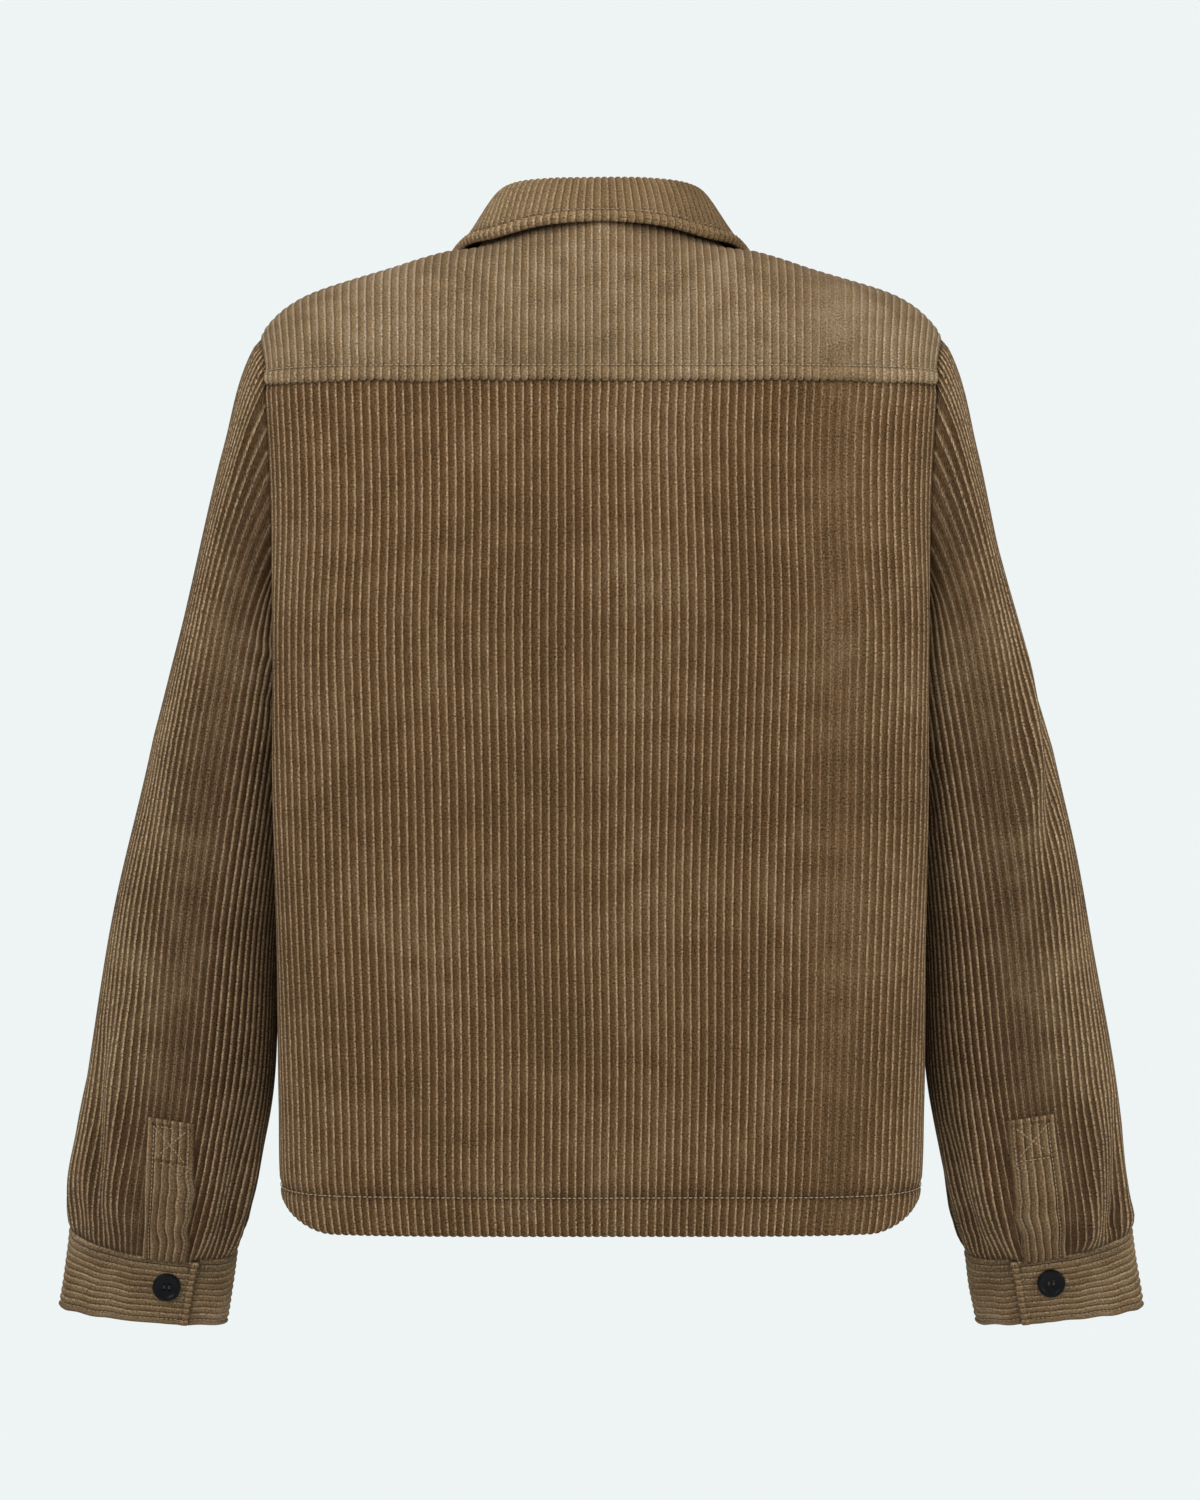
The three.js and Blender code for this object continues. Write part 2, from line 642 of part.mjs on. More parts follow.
// Cuff: a band that goes once round the wrist and laps over itself at the back
function cuffSurface(lapEdge) {
  return (turnShare, heightShare) => {
    const degrees = lapEdge - turnShare * (360 + CUFF.lap);
    const wrapped = ((((degrees + 180) % 360) + 360) % 360) - 180;
    const lift = CUFF.lift * (1 - smoothstep(turnShare, 0.13, 0.3));
    return ringPoint(wrapped / 180, lerp(CUFF_TOP_Z, CUFF_BOTTOM_Z, heightShare), lift);
  };
}

function cuffGeometry(side, wrist) {
  const cuffPoint = cuffSurface(wrist.lapEdge);
  const columns = 2 * CUFF_WALES;
  const turned = (point) => point.set(point.x * side, point.y, point.z);
  const place = (column, row) => {
    const turn = row / CUFF.rows;
    const share = column / columns;
    return { point: cuffPoint(turn, share), normal: normalOf(cuffPoint, turn, share, 1, 0.004, 0.05) };
  };
  return clothWall({
    cells: CUFF_WALES / 3,
    fine: 6,
    rows: CUFF.rows,
    outer: (column, row) => {
      const { point, normal } = place(column, row);
      return turned(offset(point, normal, waleAt(column)));
    },
    inner: (column, row) => {
      const { point, normal } = place(column, row);
      return turned(offset(point, normal, -CLOTH));
    },
  });
}

// Collar's fall, folded over the stand, and the stand between the neckline and the fold
function collarCurve(name) {
  const rowPoint = (row) => new THREE.Vector3(row[`${name}X`], row[`${name}Y`], row[`${name}Z`]);
  const half = COLLAR.map(rowPoint);
  const mirrored = half.slice(1).reverse().map(({ x, y, z }) => new THREE.Vector3(-x, y, z));
  return new THREE.CatmullRomCurve3([...mirrored, ...half]);
}

const foldCurve = collarCurve('fold');
const edgeCurve = collarCurve('edge');
const curveAt = (curve, share) => curve.getPoint(clamp((share + 1) / 2, 0, 1));

function fallPoint(share, down) {
  const fold = curveAt(foldCurve, share);
  const edge = curveAt(edgeCurve, share);
  const out = edge.clone().sub(fold).setZ(0).normalize();
  const roll = offset(fold, out, COLLAR_ROLL.out).add(new THREE.Vector3(0, 0, COLLAR_ROLL.up));
  const upper = fold.lerp(roll, down);
  return upper.lerp(roll.clone().lerp(edge, down), down);
}

const FALL_ROWS = [0, 0.22, 0.6, 1];

function collarFallGeometry() {
  const columns = 2 * COLLAR_WALES;
  const place = (column, row) => {
    const share = lerp(-1, 1, column / columns);
    const down = FALL_ROWS[row];
    const held = clamp(share, -0.99, 0.99);
    return { point: fallPoint(share, down), normal: normalOf(fallPoint, held, down, 1, 0.01, 0.02) };
  };
  return clothWall({
    cells: COLLAR_WALES / WALES_PER_CELL,
    fine: 2 * WALES_PER_CELL,
    rows: FALL_ROWS.length - 1,
    outer: (column, row) => {
      const { point, normal } = place(column, row);
      return offset(point, normal, waleAt(column));
    },
    inner: (column, row) => {
      const { point, normal } = place(column, row);
      return offset(point, normal, -COLLAR_CLOTH);
    },
  });
}

// Neckline from the centre back, along the yoke and the front, to the centre front
function necklineHalf() {
  const points = [];
  const steps = NECK_WALES;
  for (let step = 0; step <= steps; step += 1) {
    points.push(yokePlace((NECK_SHARE * step) / steps, YOKE_BACK_ROWS).point);
  }
  for (let row = YOKE_BACK_ROWS + 1; row <= YOKE_ROWS; row += 1) {
    points.push(yokePlace(NECK_SHARE, row).point);
  }
  for (let step = steps - 1; step >= 0; step -= 1) {
    const share = (frontNeckShare * step) / steps;
    points.push(frontPoint(share, frontTop(share)));
  }
  return points;
}

const neckline = necklineHalf();

function standPoint(share, up) {
  const place = clamp(Math.abs(share), 0, 0.985);
  const base = alongLine(neckline, place);
  base.z += SEAM_GAP + WALE_HEIGHT + LAP_LIFT * smoothstep(place, 0.72, 0.86);
  const under = normalOf(fallPoint, place, 0.02, -1, 0.01, 0.02);
  const point = base.lerp(offset(curveAt(foldCurve, place), under, STAND_BELOW_FOLD), up);
  return point.setX(point.x * (Math.sign(share) || 1));
}

function collarStandGeometry() {
  const cells = 32;
  const place = (column, row) => {
    const share = lerp(-1, 1, column / cells);
    const up = row / 2;
    const held = clamp(share, -0.97, 0.97);
    return { point: standPoint(share, up), normal: normalOf(standPoint, held, up, -1, 0.01, 0.05) };
  };
  return clothWall({
    cells,
    fine: 1,
    rows: 2,
    outer: (column, row) => {
      const { point, normal } = place(column, row);
      return offset(point, normal, CLOTH / 2);
    },
    inner: (column, row) => {
      const { point, normal } = place(column, row);
      return offset(point, normal, -CLOTH / 2);
    },
  });
}

// Button with four holes, its back at the origin and its face towards +Z
function buttonGeometry() {
  const outline = new THREE.Shape().absarc(0, 0, BUTTON.radius, 0, 2 * Math.PI);
  for (let quarter = 0; quarter < 4; quarter += 1) {
    const angle = (quarter + 0.5) * (Math.PI / 2);
    const centre = new THREE.Vector2(Math.cos(angle), Math.sin(angle)).multiplyScalar(BUTTON.holePlace);
    const rim = new THREE.EllipseCurve(centre.x, centre.y, BUTTON.holeRadius, BUTTON.holeRadius);
    outline.holes.push(new THREE.Path(rim.getPoints(BUTTON.holeSides)));
  }
  const solid = { depth: BUTTON.thick, bevelEnabled: false, curveSegments: BUTTON.sides / 2 };
  return new THREE.ExtrudeGeometry(outline, solid);
}

const shacket = new THREE.Group();
shacket.name = 'shacket';

function addPiece(name, geometry, look = CORDUROY) {
  const mesh = new THREE.Mesh(geometry, new THREE.MeshStandardMaterial(look));
  mesh.name = name;
  shacket.add(mesh);
  return mesh;
}

function addButton(name, point, normal, lift) {
  const button = addPiece(name, buttonGeometry(), BUTTON_HORN);
  button.position.copy(offset(point, normal, lift));
  button.quaternion.setFromUnitVectors(new THREE.Vector3(0, 0, 1), normal);
}

addPiece('back', backGeometry());
addPiece('yoke', yokeGeometry());
addPiece('front_left', frontGeometry(1, LAP_LIFT));
addPiece('front_right', frontGeometry(-1, 0));
addPiece('sleeve_left', sleeveGeometry(1, LEFT_FOLDS));
addPiece('sleeve_right', sleeveGeometry(-1, RIGHT_FOLDS));
addPiece('placket_left', placketGeometry(1, LEFT_FOLDS, WRISTS.left));
addPiece('placket_right', placketGeometry(-1, RIGHT_FOLDS, WRISTS.right));
addPiece('cuff_left', cuffGeometry(1, WRISTS.left));
addPiece('cuff_right', cuffGeometry(-1, WRISTS.right));
addPiece('collar_stand', collarStandGeometry());
addPiece('collar_fall', collarFallGeometry());

// Front buttons down the centre, then one on each cuff near the lap's edge
for (let i = 0; i < FRONT_BUTTONS.count; i += 1) {
  const z = FRONT_BUTTONS.top - FRONT_BUTTONS.pitch * i;
  const normal = normalOf(frontFace, 0.002, z, 1, 0.001, 2);
  const lift = LAP_LIFT + WALE_HEIGHT + SEAM_GAP;
  addButton(`front_button_${i + 1}`, frontFace(0, z), normal, lift);
}
for (const [name, side] of [['left', 1], ['right', -1]]) {
  const cuffPoint = cuffSurface(WRISTS[name].lapEdge);
  const place = [WRISTS[name].buttonTurn, WRISTS[name].buttonDown];
  const point = cuffPoint(...place);
  const normal = normalOf(cuffPoint, ...place, 1, 0.004, 0.05);
  point.x *= side;
  normal.x *= side;
  addButton(`cuff_button_${name}`, point, normal, WALE_HEIGHT + SEAM_GAP);
}

export default shacket;
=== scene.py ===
import math

import bpy
import numpy as np
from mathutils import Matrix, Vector


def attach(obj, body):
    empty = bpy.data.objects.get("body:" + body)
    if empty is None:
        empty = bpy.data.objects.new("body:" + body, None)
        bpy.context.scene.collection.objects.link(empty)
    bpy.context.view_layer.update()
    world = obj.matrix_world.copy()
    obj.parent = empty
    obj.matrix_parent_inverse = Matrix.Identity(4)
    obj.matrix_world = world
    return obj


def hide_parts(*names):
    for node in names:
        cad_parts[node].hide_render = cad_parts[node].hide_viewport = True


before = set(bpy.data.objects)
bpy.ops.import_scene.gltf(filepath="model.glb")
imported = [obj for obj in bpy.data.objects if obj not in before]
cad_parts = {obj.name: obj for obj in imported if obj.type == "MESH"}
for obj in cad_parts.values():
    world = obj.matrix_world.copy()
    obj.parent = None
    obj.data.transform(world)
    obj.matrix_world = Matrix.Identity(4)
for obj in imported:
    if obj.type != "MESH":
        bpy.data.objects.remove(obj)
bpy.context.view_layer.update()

# The view: straight behind the garment and level with its waist, far enough back to show
# the whole of it, as a shop photograph of a filled-out overshirt does.
view_camera_data = bpy.data.cameras.new("view_camera")
view_camera_data.sensor_fit = "VERTICAL"
view_camera_data.sensor_height = 36
view_camera_data.lens = 78.8
view_camera = bpy.data.objects.new("view_camera", view_camera_data)
view_camera.location = (0.0007, 2.2, -0.335)
view_camera.rotation_euler = (math.radians(90), 0, math.radians(180))
bpy.context.collection.objects.link(view_camera)
bpy.context.scene.camera = view_camera
bpy.context.scene.view_settings.view_transform = "Standard"

# The studio: a pale floor at the height of a standing wearer's feet, an even pale
# surround, and soft lamps above the camera and on both sides of it.
FLOOR_Z = -1.46
floor_mesh = bpy.data.meshes.new("studio_floor")
floor_corners = [(-4, -2.3, FLOOR_Z), (4, -2.3, FLOOR_Z), (4, 4, FLOOR_Z), (-4, 4, FLOOR_Z)]
floor_mesh.from_pydata(floor_corners, [], [(0, 1, 2, 3)])
studio_floor = bpy.data.objects.new("studio_floor", floor_mesh)
bpy.context.collection.objects.link(studio_floor)
floor_paint = bpy.data.materials.new("studio_floor_paint")
floor_paint.use_nodes = True
floor_shader = floor_paint.node_tree.nodes["Principled BSDF"]
floor_shader.inputs["Base Color"].default_value = (0.82, 0.86, 0.86, 1)
floor_shader.inputs["Roughness"].default_value = 0.9
floor_mesh.materials.append(floor_paint)

PALE = (0.855, 0.905, 0.905, 1)
surround = bpy.data.worlds.new("pale_surround")
surround.use_nodes = True
bpy.context.scene.world = surround
surround_nodes = surround.node_tree.nodes
surround_links = surround.node_tree.links
surround_nodes.clear()
seen_backdrop = surround_nodes.new("ShaderNodeBackground")
seen_backdrop.inputs["Color"].default_value = PALE
soft_fill = surround_nodes.new("ShaderNodeBackground")
soft_fill.inputs["Color"].default_value = (0.95, 0.97, 1, 1)
soft_fill.inputs["Strength"].default_value = 0.62
seen_or_fill = surround_nodes.new("ShaderNodeMixShader")
seen_directly = surround_nodes.new("ShaderNodeLightPath")
surround_output = surround_nodes.new("ShaderNodeOutputWorld")
surround_links.new(seen_directly.outputs["Is Camera Ray"], seen_or_fill.inputs["Fac"])
surround_links.new(soft_fill.outputs["Background"], seen_or_fill.inputs[1])
surround_links.new(seen_backdrop.outputs["Background"], seen_or_fill.inputs[2])
surround_links.new(seen_or_fill.outputs["Shader"], surround_output.inputs["Surface"])


def soft_lamp(name, place, aim, size, power):
    """A square soft lamp that points at a place on the garment."""
    lamp_data = bpy.data.lights.new(name, "AREA")
    lamp_data.size = size
    lamp_data.energy = power
    lamp = bpy.data.objects.new(name, lamp_data)
    lamp.location = place
    towards = Vector(aim) - Vector(place)
    lamp.rotation_euler = towards.to_track_quat("-Z", "Y").to_euler()
    bpy.context.collection.objects.link(lamp)


soft_lamp("lamp_left", (1.5, 2.4, 1.0), (0, 0, -0.3), 1.2, 30)
soft_lamp("lamp_above", (0.2, 1.2, 2.2), (0, 0, -0.2), 1.4, 34)
soft_lamp("lamp_right", (-2.9, 1.5, 0.3), (0, 0, -0.35), 1.2, 36)

# Back panel: one piece of wide-wale cotton corduroy from side seam to side seam, its wales
# upright, cut round at the hem's corners, turned up 25 mm and stitched, and sewn to the
# yoke at the top and to the sleeves along the armholes.
HEM_Z = -649
HEM_DEPTH = 25
SIDE_RISE = 20
UNDERARM_Z = -258
ARMHOLE_BEND_Z = -158
CHEST_Z = -170
YOKE_Z = -95
SIDE_Y = -6
BODY = {
    "height": [-660, -649, -622, -570, -435, -355, -302, -258, -180, -95],
    "half": [208, 209, 212, 214, 219, 222, 223, 223, 222, 226],
    "back": [85, 86, 88, 89, 91, 92, 92, 93, 93, 92],
    "front": [85, 86, 88, 90, 93, 94, 95, 96, 96, 94],
    "pressed": [0, 0, 0, 1, 11, 21, 28, 27, 12, 0],
}
PRESS_Y = -19
PRESS_REACH = 56
ROUNDNESS = {"back": 4.5, "front": 3.6}
BACK_WALES = 104
BACK_ARM = 83 / BACK_WALES
HALF_GIRTH = 283
CLOTH = 1.6
DOUBLE_CLOTH = 3
SEAM_GAP = 0.25
WALE_HEIGHT = 1.1
FINE = 5
BACK_CREASES = [
    {"path": [(-150, -640), (-128, -470)], "reach": 22, "lift": 2.2},
    {"path": [(-62, -640), (-70, -520)], "reach": 18, "lift": -1.6},
    {"path": [(28, -640), (36, -480)], "reach": 24, "lift": 1.8},
    {"path": [(132, -640), (120, -500)], "reach": 20, "lift": -1.8},
    {"path": [(176, -600), (188, -380)], "reach": 16, "lift": 1.6},
    {"path": [(-196, -330), (-150, -210)], "reach": 14, "lift": 2.0},
    {"path": [(192, -340), (140, -190)], "reach": 15, "lift": 1.8},
    {"path": [(-90, -130), (-20, -150)], "reach": 16, "lift": -0.9},
    {"path": [(60, -128), (120, -160)], "reach": 14, "lift": -0.8},
]


def smooth(keys, values, at):
    """A smooth curve through a short list of sizes."""
    keys, values = np.asarray(keys, float), np.asarray(values, float)
    slope = np.gradient(values, keys)
    i = np.clip(np.searchsorted(keys, at, side="right") - 1, 0, len(keys) - 2)
    step = keys[i + 1] - keys[i]
    t = np.clip((at - keys[i]) / step, 0, 1)
    eased = t * t * (3 - 2 * t)
    start, end = (t**3 - 2 * t**2 + t) * step * slope[i], (t**3 - t**2) * step * slope[i + 1]
    return values[i] * (1 - eased) + values[i + 1] * eased + start + end


def ramp(value, low, high):
    """Nothing below low, everything above high, and a soft step between."""
    t = np.clip((value - low) / (high - low), 0, 1)
    return t * t * (3 - 2 * t)


PLAN_SPACING = 5.0
PLAN_HEIGHTS = np.arange(-655, -94, PLAN_SPACING)
PLAN_STEPS = 280


def plan_lines(face):
    """Half plans of the body at many heights, from the middle of a face to its side."""
    sign = 1 if face == "back" else -1
    power = ROUNDNESS[face]
    angle = np.linspace(np.pi / 2, 0, 500)
    lines = np.zeros((len(PLAN_HEIGHTS), PLAN_STEPS + 1, 2))
    for i, height in enumerate(PLAN_HEIGHTS):
        half, depth, pressed = (
            smooth(BODY["height"], BODY[name], height) for name in ("half", face, "pressed")
        )
        c, s = np.abs(np.cos(angle)), np.sin(angle)
        radius = ((c / half) ** power + (s / depth) ** power) ** (-1 / power)
        y = SIDE_Y + sign * radius * s
        x = radius * c - pressed * np.exp(-(((y - PRESS_Y) / PRESS_REACH) ** 4))
        length = np.concatenate([[0], np.cumsum(np.hypot(np.diff(x), np.diff(y)))])
        wanted = np.linspace(0, length[-1], PLAN_STEPS + 1)
        lines[i, :, 0] = np.interp(wanted, length, x)
        lines[i, :, 1] = np.interp(wanted, length, y)
    return lines


BODY_PLANS = {face: plan_lines(face) for face in ("back", "front")}


def body_points(share, height, face):
    """Points of the body; a negative share of the half girth is on the wearer's right."""
    share, height = np.broadcast_arrays(np.asarray(share, float), np.asarray(height, float))
    lines = BODY_PLANS[face]
    level = np.clip((height - PLAN_HEIGHTS[0]) / PLAN_SPACING, 0, len(PLAN_HEIGHTS) - 1.001)
    place = np.clip(np.abs(share) * PLAN_STEPS, 0, PLAN_STEPS - 0.001)
    i, j = level.astype(int), place.astype(int)
    a, b = (level - i)[..., None], (place - j)[..., None]
    low = lines[i, j] * (1 - b) + lines[i, j + 1] * b
    high = lines[i + 1, j] * (1 - b) + lines[i + 1, j + 1] * b
    xy = low * (1 - a) + high * a
    return np.stack([xy[..., 0] * np.where(share < 0, -1, 1), xy[..., 1], height], axis=-1)


def armhole_height(share, start):
    """Height of the armhole's edge on a panel, below its bend."""
    left = 1 - np.clip((np.abs(share) - start) / (1 - start), 0, 1)
    return ARMHOLE_BEND_Z + (UNDERARM_Z - ARMHOLE_BEND_Z) * np.sqrt(1 - left * left)


def hem_corner(share):
    """How far a line of the panel is into the hem's rounded corner."""
    return ramp(np.abs(share), 0.66, 0.9)


HEM_ROWS = np.array([0, 0.03, 0.08, 0.2, 0.4, 0.6, 0.8, 0.92, 1, 1.08])


def column_heights(share, top, rows):
    """Heights of a panel's points on each wale line, close together in the hem."""
    foot = HEM_Z + SIDE_RISE * hem_corner(share)
    depth = HEM_DEPTH + (7 - HEM_DEPTH) * hem_corner(share)
    hem = foot[None] + HEM_ROWS[:, None] * depth[None]
    up = np.linspace(0, 1, rows + 1)[1:, None]
    return np.concatenate([hem, hem[-1:] + (top[None] - hem[-1:]) * up]), foot, depth


def creases(table, across, along):
    """Soft ridges and troughs in the cloth, each along a path drawn on it, in millimetres;
    they fade out towards both ends of the path."""
    lift = np.zeros(np.broadcast(across, along).shape)
    for crease in table:
        points = crease["path"]
        nearest, place = np.full(lift.shape, np.inf), np.zeros(lift.shape)
        for number, ((x0, y0), (x1, y1)) in enumerate(zip(points, points[1:])):
            dx, dy = x1 - x0, y1 - y0
            t = np.clip(((across - x0) * dx + (along - y0) * dy) / (dx * dx + dy * dy), 0, 1)
            away = np.hypot(across - x0 - t * dx, along - y0 - t * dy)
            place = np.where(away < nearest, (number + t) / (len(points) - 1), place)
            nearest = np.minimum(away, nearest)
        fade = 1 - (2 * place - 1) ** 2
        lift += crease["lift"] * fade * np.exp(-((nearest / crease["reach"]) ** 2))
    return lift


def slack(across, along, size, seed):
    """A little uneven slackness, from waves that run different ways."""
    waves = np.random.default_rng(seed)
    lift = np.zeros(np.broadcast(across, along).shape)
    for _ in range(7):
        angle, start = waves.uniform(0, np.pi), waves.uniform(0, 2 * np.pi)
        length = size * waves.uniform(0.7, 1.6)
        lift += np.sin((across * np.cos(angle) + along * np.sin(angle)) * 2 * np.pi / length + start)
    return lift / 7


def lengths(points):
    """Length along a line of points, or along each column of a grid of them."""
    steps = np.linalg.norm(np.diff(points, axis=0), axis=-1)
    return np.concatenate([np.zeros_like(steps[:1]), np.cumsum(steps, axis=0)])


def mean_lengths(points):
    """Length down a grid of points, by the mean of its columns."""
    steps = np.linalg.norm(np.diff(points, axis=0), axis=-1).mean(axis=1)
    return np.concatenate([[0], np.cumsum(steps)])


def outward(points, side, closed=False):
    """Unit normals of a grid of points."""
    if closed:
        across = np.roll(points, -1, axis=1) - np.roll(points, 1, axis=1)
    else:
        across = np.gradient(points, axis=1)
    normals = np.cross(across, np.gradient(points, axis=0)) * side
    return normals / np.maximum(np.linalg.norm(normals, axis=-1, keepdims=True), 1e-9)


def wale_relief(columns, height=WALE_HEIGHT):
    """Height of the pile across each wale: a round crest between sharp grooves."""
    phase = (np.arange(columns) % FINE) / FINE
    return height * (1 - np.abs(2 * phase - 1) ** 3)


def scallop(points, at_edge, columns, reach=0.8):
    """Lets the wales run round a turned edge, so that they show in its outline."""
    along = np.gradient(points, axis=0)
    along /= np.maximum(np.linalg.norm(along, axis=-1, keepdims=True), 1e-9)
    return points + along * (at_edge * wale_relief(columns, reach)[None])[..., None]


def cloth_shell(name, outer, inner, closed=False, present=None, painted_light=None, flank=None):
    """A closed thin wall: fine columns outside, one column to a wale inside, joined at the rims.

    The map "wales" holds the wale's number and the length along it in millimetres."""
    rows, cols = outer.shape[:2]
    inner_cols = inner.shape[1]
    cells = inner_cols if closed else inner_cols - 1
    steps = cells * FINE
    if present is None:
        present = np.ones((rows - 1, cells), bool)
    along = mean_lengths(outer)
    row, step = np.meshgrid(np.arange(rows - 1), np.arange(steps), indexing="ij")
    shown = np.repeat(present, FINE, axis=1)
    row, step = row[shown], step[shown]
    faces, corner_cols, corner_rows = [], [], []

    def add(columns_, rows_, base, width, scale):
        corners = base + rows_ * width + columns_ % width
        faces.extend(corners.tolist())
        corner_cols.append((columns_ * scale).ravel())
        corner_rows.append(rows_.ravel())

    add(np.stack([step, step + 1, step + 1, step], 1), np.stack([row, row, row + 1, row + 1], 1), 0, cols, 1)
    base = rows * cols
    row, cell = np.nonzero(present)
    add(
        np.stack([cell, cell, cell + 1, cell + 1], 1), np.stack([row, row + 1, row + 1, row], 1),
        base, inner_cols, FINE,
    )

    def is_there(r, c):
        if closed:
            c %= cells
        return 0 <= r < rows - 1 and 0 <= c < cells and present[r, c]

    for r, c in zip(row.tolist(), cell.tolist()):
        for edge, beyond in ((r, r - 1), (r + 1, r + 1)):
            if not is_there(beyond, c):
                run = list(range(c * FINE, (c + 1) * FINE + 1))
                outside = [edge * cols + k % cols for k in run]
                inside = [base + edge * inner_cols + k % inner_cols for k in (c, c + 1)]
                face = [*inside, *reversed(outside)]
                ks = [c * FINE, (c + 1) * FINE, *reversed(run)]
                if beyond > r:
                    face, ks = face[::-1], ks[::-1]
                faces.append(face)
                corner_cols.append(np.array(ks))
                corner_rows.append(np.full(len(ks), edge))
        for edge, beyond in ((c, c - 1), (c + 1, c + 1)):
            if not is_there(r, beyond):
                k, inside = edge * FINE, base + edge % inner_cols
                face = [r * cols + k % cols, (r + 1) * cols + k % cols,
                        inside + (r + 1) * inner_cols, inside + r * inner_cols]
                if beyond > c:
                    face.reverse()
                faces.append(face)
                corner_cols.append(np.full(4, k))
                corner_rows.append(np.array([r, r + 1, r + 1, r]))
    points = np.concatenate([outer.reshape(-1, 3), inner.reshape(-1, 3)]) * 0.001
    mesh = bpy.data.meshes.new(name)
    mesh.from_pydata(points.tolist(), [], faces)
    wales = mesh.uv_layers.new(name="wales")
    place = np.stack([np.concatenate(corner_cols) / FINE, along[np.concatenate(corner_rows)]], axis=1)
    wales.data.foreach_set("uv", place.astype(np.float32).ravel())
    # Point attributes: painted light, a multiplier of the colour for painted shade and painted highlights;
    # flank, which flank of the wales carries the painted highlight.
    for label, values, plain in (("painted_light", painted_light, 1.0), ("flank", flank, 0.0)):
        held = np.full(len(points), plain, np.float32)
        if values is not None:
            held[: rows * cols] = np.broadcast_to(values, (rows, cols)).ravel()
        mesh.attributes.new(label, "FLOAT", "POINT").data.foreach_set("value", held)
    mesh.shade_smooth()
    if np.sum(outward(outer, 1, closed)[:, ::FINE] * (outer[:, ::FINE] - inner)) < 0:
        mesh.flip_normals()
    mesh.validate()
    piece = bpy.data.objects.new(name, mesh)
    bpy.context.collection.objects.link(piece)
    return piece


